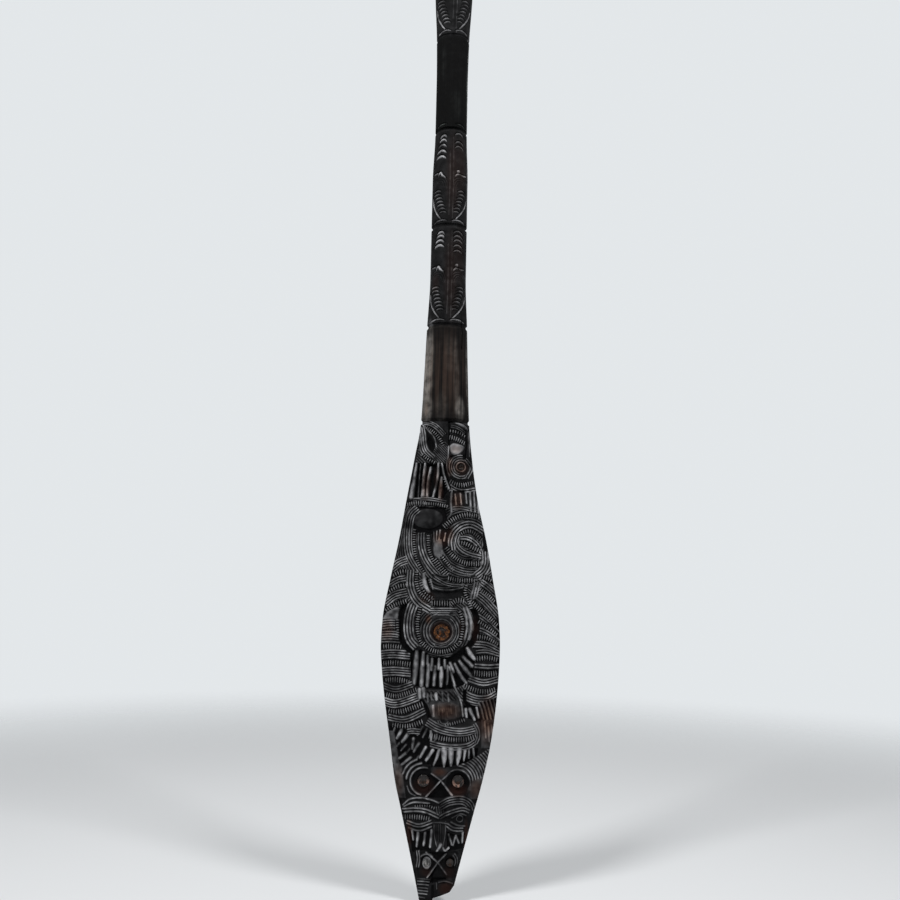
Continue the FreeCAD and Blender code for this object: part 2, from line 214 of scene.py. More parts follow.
# The carving. The carver cuts close parallel grooves that leave ridges, and between pairs of ridges a
# strip that is notched all along. Figures, spirals, fingers, teeth and eyes are sunk with gouges.
# Its depth is kept on a fine map of the face: zero is the plank's own surface, below it is minus.
map_step = 0.25
curve_spacing, straight_spacing = 1.6, 4
groove_depth = 1.5
strip_floor = 1.25
strip_lip_share, strip_lip_drop = 0.82, 0.35
taper_end, crescent_end = 0.02, 0.03


def smooth_step(share):
    share = np.clip(share, 0, 1)
    return share * share * (3 - 2 * share)


def smooth_line(points):
    """A smooth line through a few points, as close points."""
    points = np.array(points, float)
    if len(points) == 2:
        count = max(2, int(np.hypot(*(points[1] - points[0])) / straight_spacing) + 1)
        return points[0] + np.linspace(0, 1, count)[:, None] * (points[1] - points[0])
    padded = np.vstack([2 * points[0] - points[1], points, 2 * points[-1] - points[-2]])
    line = [points[:1]]
    for before, start, end, after in zip(padded, padded[1:], padded[2:], padded[3:]):
        count = max(2, int(np.hypot(*(end - start)) / curve_spacing))
        t = (np.arange(1, count + 1) / count)[:, None]
        line.append(0.5 * (2 * start + (end - before) * t
                           + (2 * before - 5 * start + 4 * end - after) * t ** 2
                           + (3 * start - before - 3 * end + after) * t ** 3))
    return np.vstack(line)


def beside(line, offset):
    """The line moved sideways, to its left where the offset is positive."""
    along = np.gradient(line, axis=0)
    along /= np.hypot(along[:, 0], along[:, 1])[:, None]
    return line + np.stack([-along[:, 1], along[:, 0]], 1) * np.reshape(offset, (-1, 1))


def arc(centre, radius, start, end, squash=1.0):
    """Points on a round or oval arc; angles in degrees, from the right and up over the top."""
    turns = np.radians(np.linspace(start, end, max(4, int(abs(end - start) / 15) + 1)))
    return [(centre[0] + radius * squash * math.cos(turn), centre[1] + radius * math.sin(turn))
            for turn in turns]


def ridge(share, floor, top, shine):
    """Height and painted highlight across one ridge, which runs from share 0 to share 1."""
    crest = 1 - np.abs(2 * share - 1)
    hump = smooth_step(crest * 1.25)
    return -floor + (floor + top) * hump ** 0.8, shine * crest ** 2.6


# The wear map also holds painted highlight: ridges, fingers, crescents, bosses and bare patches get a paler
# stain towards their crests, standing for light caught there as well as for rubbing.
class CarvedMap:
    """Depth of the cuts, wear of the stain with painted highlight on the crests, and brown wood over one
    face of the timber.
    """
    def __init__(self, left, right, bottom, top, ground):
        self.left, self.bottom = left, bottom
        self.rows = int(round((top - bottom) / map_step)) + 1
        self.columns = int(round((right - left) / map_step)) + 1
        self.depth = np.full((self.rows, self.columns), -ground, np.float32)
        self.wear_and_highlight = np.full((self.rows, self.columns), 0.02, np.float32)
        self.brown = np.zeros((self.rows, self.columns), np.float32)
        self.strips = []

    def window(self, low, high, reach):
        first = np.maximum(0, np.floor((np.array([low[1], low[0]]) - reach
                                        - [self.bottom, self.left]) / map_step)).astype(int)
        last = np.ceil((np.array([high[1], high[0]]) + reach - [self.bottom, self.left]) / map_step)
        last = np.clip(last.astype(int) + 1, 0, [self.rows, self.columns])
        part = (slice(first[0], max(first[0], last[0])), slice(first[1], max(first[1], last[1])))
        x = self.left + map_step * np.arange(part[1].start, part[1].stop)
        z = self.bottom + map_step * np.arange(part[0].start, part[0].stop)
        return (part, *np.meshgrid(x, z))

    def near(self, line, reach):
        """For the map around a line: distance off it, share of the way along it, and past its ends."""
        part, x, z = self.window(line.min(0), line.max(0), reach)
        nearest = np.full(x.shape, 1e9)
        off, along, past = np.zeros(x.shape), np.zeros(x.shape), np.zeros(x.shape, bool)
        run = 0.0
        for number, (start, end) in enumerate(zip(line[:-1], line[1:])):
            step = end - start
            length = max(1e-6, math.hypot(*step))
            share = ((x - start[0]) * step[0] + (z - start[1]) * step[1]) / length ** 2
            held = np.clip(share, 0, 1)
            away_x, away_z = x - start[0] - held * step[0], z - start[1] - held * step[1]
            away = away_x ** 2 + away_z ** 2
            closer = away < nearest
            side = np.where(step[0] * away_z - step[1] * away_x >= 0, 1, -1)
            nearest = np.where(closer, away, nearest)
            off = np.where(closer, np.sqrt(away) * side, off)
            along = np.where(closer, run + held * length, along)
            beyond = ((number == 0) & (share < 0)) | ((number == len(line) - 2) & (share > 1))
            past = np.where(closer, beyond, past)
            run += length
        return part, off, along / run, past

    def band(self, points, pattern, width, shine=1.0, pointed=False, top=0.0, floor=groove_depth):
        """Parallel ridges | or a notched strip # along a line, each of one width, from its left side."""
        def taper(share):
            if not pointed:
                return np.ones(share.shape)
            return np.sin(np.pi * np.clip(share, taper_end, 1 - taper_end)) ** 0.6

        line = smooth_line(points)
        edge = sum([width] * len(pattern)) / 2
        part, off, along, past = self.near(line, edge)
        place = off / taper(along)
        cut, wear_and_highlight = self.depth[part], self.wear_and_highlight[part]
        for mark in pattern:
            inside = (place <= edge) & (place > edge - width) & ~past
            share = (edge - place) / width
            if mark == "|":
                height, bright = ridge(np.clip(share, 0, 1), floor, top, shine)
            else:
                height = -strip_floor - strip_lip_drop * (np.abs(2 * share - 1) > strip_lip_share)
                bright = 0 * height
                swell = taper(np.linspace(0, 1, len(line)))
                self.strips.append((beside(line, (edge - width / 2) * swell), width * swell))
            cut[inside] = height[inside]
            wear_and_highlight[inside] = bright[inside]
            edge -= width

    def finger(self, points, widths, floor=2.6, shine=1.0, top=0.0, sharp=4):
        """A rounded ridge of changing width, left standing in cut-away ground."""
        line = smooth_line(points)
        part, off, along, _ = self.near(line, max(widths) / 2)
        half = np.interp(along, np.linspace(0, 1, len(widths)), widths) / 2
        hump = np.sqrt(np.clip(1 - (off / half) ** 2, 0, 1))
        height = np.where(hump > 0, -floor + (floor + top) * hump, -99)
        higher = height > self.depth[part]
        self.depth[part][higher] = height[higher]
        self.wear_and_highlight[part][higher] = (shine * hump ** sharp)[higher]

    def crescent(self, points, width, cut, shine, pointed=0.8):
        """A ridge pointed at both ends, with the ground cut away round it."""
        line = smooth_line(points)
        part, off, along, _ = self.near(line, width / 2 + 1)
        half = width / 2 * np.sin(np.pi * np.clip(along, crescent_end, 1 - crescent_end)) ** pointed
        off = np.abs(off)
        hump = np.sqrt(np.clip(1 - (off / half) ** 2, 0, 1))
        around = -cut * smooth_step((half + 1 - off) / 0.8)
        self.depth[part] = np.where(off < half, -cut + (cut + 0.15) * hump,
                                    np.minimum(self.depth[part], around))
        self.wear_and_highlight[part] = np.where(off < half + 1, shine * hump ** 2, self.wear_and_highlight[part])

    def trench(self, points, width, depth):
        """A round-bottomed gouge cut along a line."""
        part, off, _, _ = self.near(smooth_line(points), width / 2)
        hollow = np.sqrt(np.clip(1 - (2 * off / width) ** 2, 0, 1))
        self.depth[part] = np.minimum(self.depth[part], np.where(hollow > 0, -depth * hollow, 99))
        self.wear_and_highlight[part][hollow > 0] = 0

    def oval(self, centre, half_width, half_height, turn=0.0):
        """The map around an oval, and how far out each place is: 1 on the oval itself."""
        reach = max(half_width, half_height) * 1.3
        part, x, z = self.window(np.array(centre), np.array(centre), reach)
        c, s = math.cos(math.radians(turn)), math.sin(math.radians(turn))
        across, up = x - centre[0], z - centre[1]
        return part, np.hypot((c * across + s * up) / half_width, (c * up - s * across) / half_height)

    def pit(self, centre, half_width, half_height, depth, turn=0.0):
        part, out = self.oval(centre, half_width, half_height, turn)
        hollow = np.clip(1 - out ** 2, 0, 1) ** 0.4
        self.depth[part] = np.minimum(self.depth[part], np.where(out < 1, -depth * hollow, 99))
        self.wear_and_highlight[part][out < 1] = 0

    def boss(self, centre, half_width, half_height, top, shine, edge=1.9):
        """A smooth domed boss with a groove round it."""
        part, out = self.oval(centre, half_width, half_height)
        dome = top - (top + edge) * np.clip(out, 0, 1) ** 5
        cut = self.depth[part]
        cut[out < 1] = dome[out < 1]
        cut[(out >= 1) & (out < 1.12)] = -edge
        self.wear_and_highlight[part][out < 1.12] = 0
        self.wear_and_highlight[part][out < 0.94] = shine

    def bare(self, corners, depth, shine=0.0):
        """Ground cleared to one depth inside a many-cornered outline."""
        part, _, _, inside = self.inside(corners)
        self.depth[part][inside] = -depth
        self.wear_and_highlight[part][inside] = shine

    def inside(self, corners):
        """The map around a many-cornered outline, and which places lie inside it."""
        corners = np.array(corners, float)
        part, x, z = self.window(corners.min(0), corners.max(0), 0)
        inside = np.zeros(x.shape, bool)
        for (x0, z0), (x1, z1) in zip(corners, np.roll(corners, -1, axis=0)):
            crossing = (z0 > z) != (z1 > z)
            inside ^= crossing & (x < (x1 - x0) * (z - z0) / (z1 - z0 if z1 != z0 else 1e-9) + x0)
        return part, x, z, inside

    def grooved(self, part, inside, across, pitch, shine):
        """Ridges side by side over one piece of ground, where across is the distance over them."""
        height, bright = ridge(across / pitch - np.floor(across / pitch), 1.3, -0.2, shine)
        self.depth[part][inside] = height[inside]
        self.wear_and_highlight[part][inside] = bright[inside]

    def nested(self, corners, middle, pitch, shine):
        """Ridges nested round one middle, over a many-cornered piece of ground."""
        part, x, z, inside = self.inside(corners)
        self.grooved(part, inside, np.hypot(x - middle[0], z - middle[1]), pitch, shine)

    def hatch(self, corners, pitch, shine):
        """Fine slanting ridges over a many-cornered piece of ground."""
        part, x, z, inside = self.inside(corners)
        self.grooved(part, inside, (x + z) * math.sqrt(0.5), pitch, shine)

    def leaf(self, corners, rise, shine):
        """A smooth rubbed swelling inside a rounded outline, paler inside its rim as a painted highlight.
        """
        line = smooth_line(list(corners) + [corners[0]])
        part, off, _, _ = self.near(line, 0)
        inside = self.inside(line)[3]
        edge = smooth_step(np.abs(off) / 1.6)
        self.depth[part][inside] = (-1.2 + (1.2 + rise) * edge)[inside]
        self.wear_and_highlight[part][inside] = (shine * edge)[inside]

    def hole(self, centre, radius, depth):
        """A drilled hole with a flat floor."""
        part, out = self.oval(centre, radius, radius)
        self.depth[part][out < 1] = -depth
        self.wear_and_highlight[part][out < 1] = 0

    def swell(self, centre, half_width, half_height, lift):
        """Raises or sinks the whole carved ground gently."""
        part, out = self.oval(centre, half_width, half_height)
        self.depth[part] += lift * np.clip(1 - out ** 2, 0, 1) ** 1.5

    def polish(self, centre, half_width, half_height, amount):
        """Where hands or cloth have rubbed the stain thin and smooth, and where a painted sheen lightens
        it.
        """
        part, out = self.oval(centre, half_width, half_height)
        self.wear_and_highlight[part] = np.maximum(self.wear_and_highlight[part], amount * smooth_step(1.4 - 1.4 * out))

    def rub(self, centre, half_width, half_height, amount):
        """Where the stain has gone and brown wood shows."""
        part, out = self.oval(centre, half_width, half_height)
        self.brown[part] = np.maximum(self.brown[part], amount * np.clip(1.5 - 1.5 * out, 0, 1))

    def soften(self, times):
        for _ in range(times):
            for field in (self.depth, self.wear_and_highlight):
                field[1:-1] = 0.25 * field[:-2] + 0.5 * field[1:-1] + 0.25 * field[2:]
                field[:, 1:-1] = 0.25 * field[:, :-2] + 0.5 * field[:, 1:-1] + 0.25 * field[:, 2:]

    def roughen(self, seed, grain, amount):
        """The small unevenness that hand tools leave."""
        size = (int(self.rows / grain) + 3, int(self.columns / grain) + 3)
        coarse = np.random.default_rng(seed).normal(size=size)
        row, column = np.arange(self.rows) / grain, np.arange(self.columns) / grain
        r, c = row.astype(int), column.astype(int)
        v, u = smooth_step(row - r)[:, None], smooth_step(column - c)[None, :]
        field = ((coarse[r][:, c] * (1 - u) + coarse[r][:, c + 1] * u) * (1 - v)
                 + (coarse[r + 1][:, c] * (1 - u) + coarse[r + 1][:, c + 1] * u) * v)
        self.depth += amount * field.astype(np.float32)
        self.wear_and_highlight *= np.clip(1 + 0.35 * field, 0.2, 1.6).astype(np.float32)

    def read(self, field, x, z):
        """The map's value at any place, between its points."""
        column = np.clip((x - self.left) / map_step, 0, self.columns - 1.001)
        row = np.clip((z - self.bottom) / map_step, 0, self.rows - 1.001)
        c, r = column.astype(int), row.astype(int)
        u, v = column - c, row - r
        return ((field[r, c] * (1 - u) + field[r, c + 1] * u) * (1 - v)
                + (field[r + 1, c] * (1 - u) + field[r + 1, c + 1] * u) * v)


# The blade's face, carved from the collar down to the tip. Every point is x, height in millimetres.
face = CarvedMap(-66, 66, -2, 490, 1.0)
spiral_middle, eye_middle, left_eye, right_eye = (26, 357), (0.5, 266), (-14.3, 117), (20.5, 117)
face.nested([(-46, 396), (44, 396), (54, 345), (57, 318), (-54, 318), (-50, 350)], spiral_middle, 2.5,
            0.4)
face.nested([(-54, 319), (56, 319), (62, 250), (-62, 250)], eye_middle, 2.5, 0.4)

# Under the collar on the left: a long slanting eye with a deep pupil, between double ridges
face.bare([(-26, 490), (-24, 486), (-5, 478), (3.5, 472), (3.5, 490)], 0, 0.04)
face.hatch([(-13, 455), (-2, 464), (3.5, 462), (3.5, 441), (-12, 441)], 1.9, 0.35)
face.hatch([(-27.8, 460), (-23, 452), (-16, 441), (-31, 441)], 2.3, 0.4)
for cut in (
        ([(-26, 485.5), (-16, 483.6), (-8, 478.6), (-0.5, 470.8)], "|||", 2.1),
        ([(-21.5, 480), (-12, 474), (-5.5, 467), (-1.5, 460)], "#", 4.6),
        ([(-24, 482.6), (-17, 475), (-11, 467.5), (-8.6, 457.5)], "|", 2.6)):
    face.band(*cut)
face.bare([(-22.5, 478), (-13, 467), (-10, 458), (-13, 451), (-18, 456), (-21, 466)], 1.6, 0)
for cut in (
        ([(-25.2, 481), (-23.4, 471), (-22.6, 462), (-19.4, 453.5), (-11.5, 446)], "|||", 2.4),
        ([(-27.6, 474), (-27.4, 462), (-25, 453), (-20, 447.4)], "|", 2.2, 0.6),
        ([(-23.4, 450), (-17.5, 445), (-10.5, 441.4)], "#", 4.6)):
    face.band(*cut)
face.pit((-15.5, 461), 3.4, 9.0, 3.8, turn=18)
face.trench([(4.4, 487), (4.8, 470), (4.6, 458)], 1.7, 2.3)
face.finger([(4.4, 459), (4, 444)], (1.6, 1.6), 1.6)

# Under the collar on the right: a bare crescent, beads, a bare brow and a spiral with an eye
face.bare([(6, 490), (6, 486), (14, 484.6), (24, 478), (28, 482), (28, 490)], 0.1, 0.1)
face.leaf([(8, 485.6), (17, 485.4), (24.6, 481.4), (25.6, 477.4), (19, 479.6), (13, 482.4)], 0.2, 0.8)
for cut in (
        ([(6.5, 480.6), (14, 479), (22, 474.4)], "||", 2.0, 0.6),
        ([(6, 475.4), (14, 474.2), (21.5, 470.8)], "#", 4.2),
        ([(5.5, 468.6), (13, 467), (21, 463)], "#", 6.4)):
    face.band(*cut)
face.leaf([(4.8, 459.6), (9, 462.8), (16, 462), (21, 460), (21.6, 456.8), (17, 451.6), (11.4, 448.8),
           (6.4, 452.4)], 0.35, 0.5)
face.trench([(23, 478), (23.8, 460), (22.6, 447)], 1.8, 2.6)
face.band([(27, 476), (28, 462), (28.6, 449)], "||", 2.4, 0.6)
face.trench([(7, 448.2), (14, 447), (22, 450)], 2.2, 2.4)
for cut in (
        ([(5.2, 446), (5, 436), (8, 427.6)], "|||", 2.0, 0.8),
        (arc((17.9, 437.4), 11.2, 80, 330), "||", 2.4), (arc((17.9, 437.4), 4.9, 0, 360), "|", 2.8),
        (arc((17.9, 437.4), 7.6, 40, 260), "|", 2.2), ([(23, 446), (29.5, 437), (24.5, 426)], "||", 2.6),
        ([(7, 421.5), (13, 418.8), (20, 418), (31, 421)], "#", 6),
        ([(1.6, 431), (5, 419), (14, 413), (24, 412.2), (34, 415)], "||", 2.4),
        ([(1, 424), (3.4, 417), (7, 412)], "#", 4)):
    face.band(*cut)

# A hand with long fingers, sunk deep, and a double ridge under it
face.finger([(-29.8, 441), (-32, 424), (-34.6, 405)], (2.4, 4.4, 6.4), 1.2, 0.85)
face.bare([(-28, 441), (-12, 441), (1.5, 440), (8, 415), (0, 404), (-31, 404), (-29.6, 424)], 3.4)
for points, widths in (
        (((-20.5, 440.5), (-22, 424), (-22, 404)), (3.0, 3.8, 6.0)),
        (((-14.4, 436), (-17.2, 420), (-17.6, 404)), (3.0, 3.2, 3.6)),
        (((-6.2, 440.5), (-7, 424), (-11.6, 403)), (3.0, 3.0, 2.8)),
        (((-2.4, 425.5), (-3.4, 415), (-4.2, 402)), (3.0, 4.6, 3.8)),
        (((-2.4, 440.5), (0.4, 428), (5.6, 414)), (2.6, 2.6, 3.2)),
        (((-25.4, 440), (-26.6, 420), (-27, 405)), (1.6, 1.4, 1.4))):
    face.finger(points, widths, 3.4, 0.9 if widths[0] > 2 else 0.3, sharp=3)
for cut in (
        ([(-32, 402), (-14, 402.6), (3, 399.6)], "||", 2.2),
        ([(-38, 396.8), (-29, 398.4), (-19, 398.6)], "#", 5.6),
        ([(-20, 397.6), (-8, 397.4), (4, 395)], "#", 4.6),
        ([(-27, 393.6), (-12, 394.4), (3, 391.4)], "|", 2.2, 0.4)):
    face.band(*cut)
face.bare([(9, 412), (22, 412), (22, 393), (9, 393)], 1.8, 0.04)
face.finger([(8.8, 412), (8, 400), (8.6, 388), (4.4, 382)], (2.6, 3.2, 3.0, 2.2), 1.6)
for side, low, high, width in (
        (13, 396, 408, 2.4), (18.4, 397, 409, 2.4), (24, 399, 411, 2.4), (28.8, 388, 411, 3.0),
        (33.2, 385, 412, 2.8), (37.2, 384, 408, 2.6)):
    face.finger([(side - 0.6, high), (side + 0.9, low)], (width, width), 2.2, 0.8)
face.band([(10, 393.4), (19, 394), (28, 392.6)], "||", 2.3)

# A broad bare boss, held by sweeping ridges at its left
face.bare([(-32, 395), (2, 394), (5, 380), (1, 366), (-29, 366), (-34, 380)], 2.0)
face.boss((-16.3, 382), 17.0, 10.8, top=0.5, shine=0.055)
for cut in (
        ([(-43.5, 372), (-45.5, 360), (-49, 343)], "||", 2.6, 0.5),
        ([(-27, 392.6), (-33.6, 386), (-36.2, 375), (-36.6, 361), (-35.6, 349), (-31.6, 338),
          (-21, 323.6)], "||||", 2.6),
        ([(-30, 370), (-30.2, 358), (-28.4, 345), (-24.6, 334.4), (-18, 325.4)], "#", 4.2),
        ([(-22.6, 367), (-22.2, 354), (-18.5, 342), (-12, 332), (-3, 322.4)], "|||", 2.9),
        ([(-15.2, 364), (-14.6, 352), (-11.4, 342), (-5.8, 333), (2, 324.6)], "#", 4.6)):
    face.band(*cut)
face.leaf([(-10.5, 359), (-1, 361), (1, 350), (4, 343), (-3, 339.5), (-9.5, 345)], 0.2, 0.35)
face.bare([(-11, 370), (8, 372), (7, 360), (7, 352), (1, 350), (-1, 361), (-10, 358)], 1.4)
for start, end, width in (
        ((-9.4, 368), (-8.8, 357), 2.4), ((-6.2, 369), (-6.6, 356), 2.4), ((-2.8, 370), (-4.2, 356), 3.0),
        ((3, 367), (1.6, 359), 2.4)):
    face.finger([start, end], (width * 0.7, width), 1.6)
face.band([(-7, 339.5), (-1, 332), (6, 324.6)], "#", 4.6)
face.band([(-1, 343.5), (5, 336.6), (12, 329)], "#", 4.6)

# The large double spiral at its right
face.bare([(42, 372), (50, 362), (52, 345), (44, 345)], 0.3)
for cut in (
        ([(1.5, 374), (9.5, 380.6), (18, 385), (27, 387), (38, 385.6)], "#", 6.6),
        ([(10.4, 349), (9.4, 359), (12.6, 368), (20.6, 375), (31, 376.6), (43.6, 370.4)], "|||", 3.0),
        ([(18, 365.6), (25, 369.4), (33, 368), (41, 361.4)], "#", 5.6),
        ([(18.6, 362.4), (25, 362.6), (31.5, 360), (38, 354), (42.5, 344.5)], "||", 2.7),
        ([(17.6, 358), (25, 356.2), (31.5, 352.8), (39.6, 349.2)], "#", 6.4),
        ([(16.5, 366), (14.8, 358.5), (18.5, 351.5), (27, 346.3), (41, 343)], "||", 2.6),
        ([(4, 351.4), (10, 344.4), (18, 338.8), (27, 336.2), (41, 336)], "#", 6.6),
        ([(7.6, 334.4), (17, 329.8), (28, 327.4), (40, 328.4)], "|||", 2.5, 0.7),
        ([(46.6, 349), (47, 338), (44, 329.6), (36, 322.6)], "||||", 2.8)):
    face.band(*cut)

# Left of the blade: ridges and notched strips in turn, all the way down its edge
for points, pattern, pitch in (
        ([(-53, 329), (-45, 335.5), (-37, 338.5)], "||||", 2.5),
        ([(-54, 320.6), (-45, 325.6), (-38, 326.6)], "#", 5.8),
        ([(-55, 312.4), (-46, 317.8), (-38, 319.6)], "|||", 2.5),
        ([(-57, 303.6), (-47, 310.2), (-37, 312.4)], "#", 5.6),
        ([(-59, 293.6), (-49, 301.3), (-36, 305)], "||||", 2.5),
        ([(-60, 283.4), (-50, 291.2), (-37, 296)], "#", 6.2)):
    face.band(points, pattern, pitch)
face.bare([(-61.5, 277), (-57, 284), (-47, 289.5), (-42, 288), (-43, 277)], 0, 0.4)
for points, pattern, pitch in (
        ([(-62, 270.8), (-52, 272.2), (-43, 271.6)], "||||", 2.6),
        ([(-45.5, 276.5), (-45.2, 268), (-44.6, 261)], "#", 4.4),
        ([(-62, 260), (-52, 260.8), (-42, 260.2)], "||||", 2.5),
        ([(-62, 253.6), (-52, 254.2), (-41, 253.6)], "|", 2.6),
        ([(-62.4, 248.8), (-52, 249.6), (-41, 248.8)], "#", 6.4),
        ([(-62.4, 240.4), (-49, 242), (-31, 241.2)], "||||", 2.5),
        ([(-61.6, 231.8), (-47, 232.8), (-31, 231.6)], "#", 6.6),
        ([(-61.4, 223.2), (-47, 224.6), (-30, 223.8)], "||||", 2.5),
        ([(-60.6, 215.2), (-45, 216), (-29, 214.6)], "#", 7.6),
        ([(-60.4, 210.4), (-45, 206.6), (-28, 212)], "|||", 2.5),
        ([(-59, 202), (-44, 199.8), (-24, 206.4)], "#", 6.6),
        ([(-58, 194), (-43, 192.4), (-18, 201.4)], "||||", 2.4),
        ([(-56, 185.6), (-40, 184.4), (-17, 192.4)], "#", 6.6),
        ([(-52, 178.4), (-34, 177), (-13, 187)], "|||", 2.6),
        ([(-47, 171.2), (-31, 170.2), (-17, 175)], "#", 6.4)):
    face.band(points, pattern, pitch, pointed=pitch == 7.6)

# Below the double spiral: the sweep that comes down beside the big eye, and the bridge over it
face.bare([(-10, 325), (10, 324), (24, 312), (12, 308.6), (0, 308), (-10, 310)], 1.0, 0.07)
face.nested([(-10, 325), (10, 324), (24, 312), (12, 308.6), (0, 308), (-10, 310)], (2, 334), 3.2, 0.14)
for cut in (
        ([(-8, 321), (4, 314.6), (18, 312.6), (32, 313)], "||", 2.2, 0.45),
        ([(-11, 311.4), (-3, 308.8), (7, 308.2), (17, 309.6), (26, 313)], "|", 2.2, 0.5),
        ([(7, 320.4), (19, 318.4), (34, 318.4)], "#", 5.8)):
    face.band(*cut)
face.bare([(-13, 309), (-3, 307.6), (8, 307), (18, 308.4), (25, 311), (24, 303), (16, 299.6), (4, 298),
           (-8, 298.6), (-15, 302)], 1.8, 0.02)
for cut in (
        ([(-32.6, 328), (-33, 314), (-29.6, 302.5), (-23, 294), (-11, 286.6)], "|||", 3.0),
        ([(-26.4, 326), (-26.2, 314), (-21.6, 304), (-11, 295.5)], "#", 5),
        ([(-20, 309), (-16, 303.4), (-10, 300)], "#", 4.0)):
    face.band(*cut)
face.finger([(-19.4, 324), (-17, 313), (-13, 306)], (4.4, 6.4, 4.0), 2.0, 0.7, top=0.2)
face.trench([(-15.5, 319), (-13, 312), (-9.8, 306)], 1.8, 2.8)
face.finger([(-12, 319), (-9, 310)], (2.2, 2.2), 1.4, 0.7)
for cut in (
        ([(-9.5, 294.4), (9, 294.4)], "#", 6.8), ([(10, 293), (16, 297.5), (23, 297)], "#", 7),
        ([(26, 313), (25, 305), (28.4, 298), (31, 290)], "#", 4.8)):
    face.band(*cut)
for start, end in (
        ((34.6, 316), (30.6, 300)), ((37.4, 316), (33.6, 300)), ((40, 315), (36.6, 301))):
    face.finger([start, end], (2.6, 2.8), 1.8)
face.band([(-11, 285.6), (3, 286), (16, 286)], "||||", 2.2, 0.8, floor=1.2)

# Right of the blade, from the double spiral down
for points, pattern, pitch in (
        ([(42, 323), (50, 320), (57, 316.4)], "#", 5.4),
        ([(41.4, 317), (49, 311.8), (58.6, 303.5)], "|||", 2.5),
        ([(40.5, 309.5), (48.5, 303.8), (60, 292.6)], "#", 5.8),
        ([(38, 303.4), (47, 296.4), (61, 281.4)], "||||", 2.6),
        ([(30.5, 297), (40, 289.3), (50, 281), (62, 269.6)], "#", 6.2),
        ([(38.5, 283), (48, 276.6), (62.4, 263.8)], "||", 2.5),
        ([(39.6, 276.4), (49, 270.6), (62.4, 260)], "#", 5.2),
        ([(39.5, 269), (49, 265.2), (62.4, 255.8)], "||", 2.6),
        ([(38.5, 261), (50, 258.8), (62.4, 251.6)], "#", 5.8),
        ([(34, 253.6), (48, 252.4), (62.6, 245.8)], "|||", 2.6),
        ([(37, 245.6), (48, 246.4), (62.4, 242.4)], "||", 2.4),
        ([(36, 238.6), (50, 239.6), (62.4, 237.4)], "#", 6.4),
        ([(36, 231.8), (50, 231), (62, 231.6)], "||", 3.0),
        ([(36, 224.2), (50, 223.4), (61.6, 224.6)], "#", 7.2),
        ([(30, 219), (45, 215), (61, 218.2)], "|||", 2.6),
        ([(25, 211.4), (38, 206.6), (50, 205.8), (60.6, 208.8)], "#", 6.8),
        ([(17.5, 211), (26, 201.4), (38, 196.8), (50, 197), (60, 201.6)], "|||||", 2.5)):
    face.band(points, pattern, pitch)

# The big eye in its oval, with dark trenches at both sides
face.trench([(-37, 294), (-41.2, 284), (-41.4, 268), (-39.8, 256), (-34.5, 248.5), (-26, 243.5)], 6.4,
            3.6)
face.trench([(34, 288), (37.4, 278), (37.2, 266), (33.6, 256.5), (27, 249), (20, 243.6)], 6.4, 3.4)
face.band([(-29.5, 292), (-32.6, 282), (-33.4, 269), (-31, 257.6), (-24, 249.6)], "||||", 3.0)
face.band([(-21.6, 290), (-24, 278), (-23.8, 266), (-20.5, 255), (-14, 249)], "#", 5)
face.finger([(26.4, 291), (30.6, 280), (31.6, 268), (29, 258)], (3.0, 4.4, 4.6, 2.6), 1.6, 0.75)
face.finger([(23.4, 290), (26.4, 280), (27, 268), (25, 258)], (2.4, 3.0, 3.0, 2.0), 1.6, 0.85)
for cut in (
        ([(19.5, 286), (22.4, 277), (22.6, 267), (20.4, 256)], "#", 4.6),
        (arc(eye_middle, 16.6, 104, 245), "||", 2.9, 0.6),
        (arc(eye_middle, 15.8, -62, 70), "|||", 2.4, 0.7)):
    face.band(*cut)
face.bare([(-9, 282), (-9.5, 273), (10, 273), (10, 282)], 0.9, 0.08)
face.band(arc((0, 267.5), 22.6, 220, 320), "#", 6)
face.band(arc(eye_middle, 12.2, 0, 360), "|", 2.8, 0.45, top=-0.4)
face.pit((1, 265), 10.4, 10.4, 0.9)
face.band([(-13, 241.6), (0, 239.6), (13, 241.6)], "|||", 1.9, 0.5, top=-0.3)

# The hand below the big eye: a row of long fingers over a dark hollow
face.bare([(-31, 243), (-20, 247), (-9, 240), (9, 240), (22, 247), (36, 238), (34, 226), (27, 213),
           (16, 208.4), (0, 207.6), (-16, 208.6), (-27, 211), (-30, 224)], 3.4)
for points, widths, shine in (
        (((-24.4, 245), (-25, 231), (-26.2, 213)), (4.6, 7.4, 4.6), 0.55),
        (((-17.2, 244), (-18, 229), (-18.6, 211)), (4.0, 6.0, 5.2), 0.75),
        (((-12, 232), (-12.2, 220), (-12.8, 210.6)), (4.2, 5.2, 4.0), 0.8),
        (((-5, 230), (-5.4, 220), (-6, 211.6)), (4.0, 4.6, 3.8), 0.9),
        (((1.4, 229), (1.6, 219), (1.4, 211)), (4.4, 5.4, 4.0), 1.0),
        (((8, 231), (8.2, 220), (7.6, 213)), (3.2, 3.8, 2.8), 0.4),
        (((9.8, 230), (13, 220), (16, 211)), (3.0, 3.2, 3.0), 0.9),
        (((10.4, 234), (14.2, 225.4)), (3.8, 3.6), 1.0),
        (((15.4, 233), (21, 222.6), (27.4, 214.4)), (3.6, 4.6, 3.8), 0.6),
        (((20, 236), (26, 228.6), (32.4, 221)), (4, 5.8, 4), 0.5),
        (((24, 240), (33, 231.4)), (4.4, 5.2), 0.55),
        (((28, 249), (31, 244), (35.4, 238.6)), (4.4, 6.4, 5), 1.0),
        (((-8.2, 238), (-8.6, 227)), (3.8, 4.4), 0.8), (((-1.2, 238), (-1.4, 228)), (3.4, 4.2), 0.9),
        (((4.8, 237), (5, 229)), (3.4, 3.8), 0.6), (((-12.8, 241), (-13, 233)), (3.6, 4), 0.6)):
    face.finger(points, widths, 3.4, shine, sharp=4)

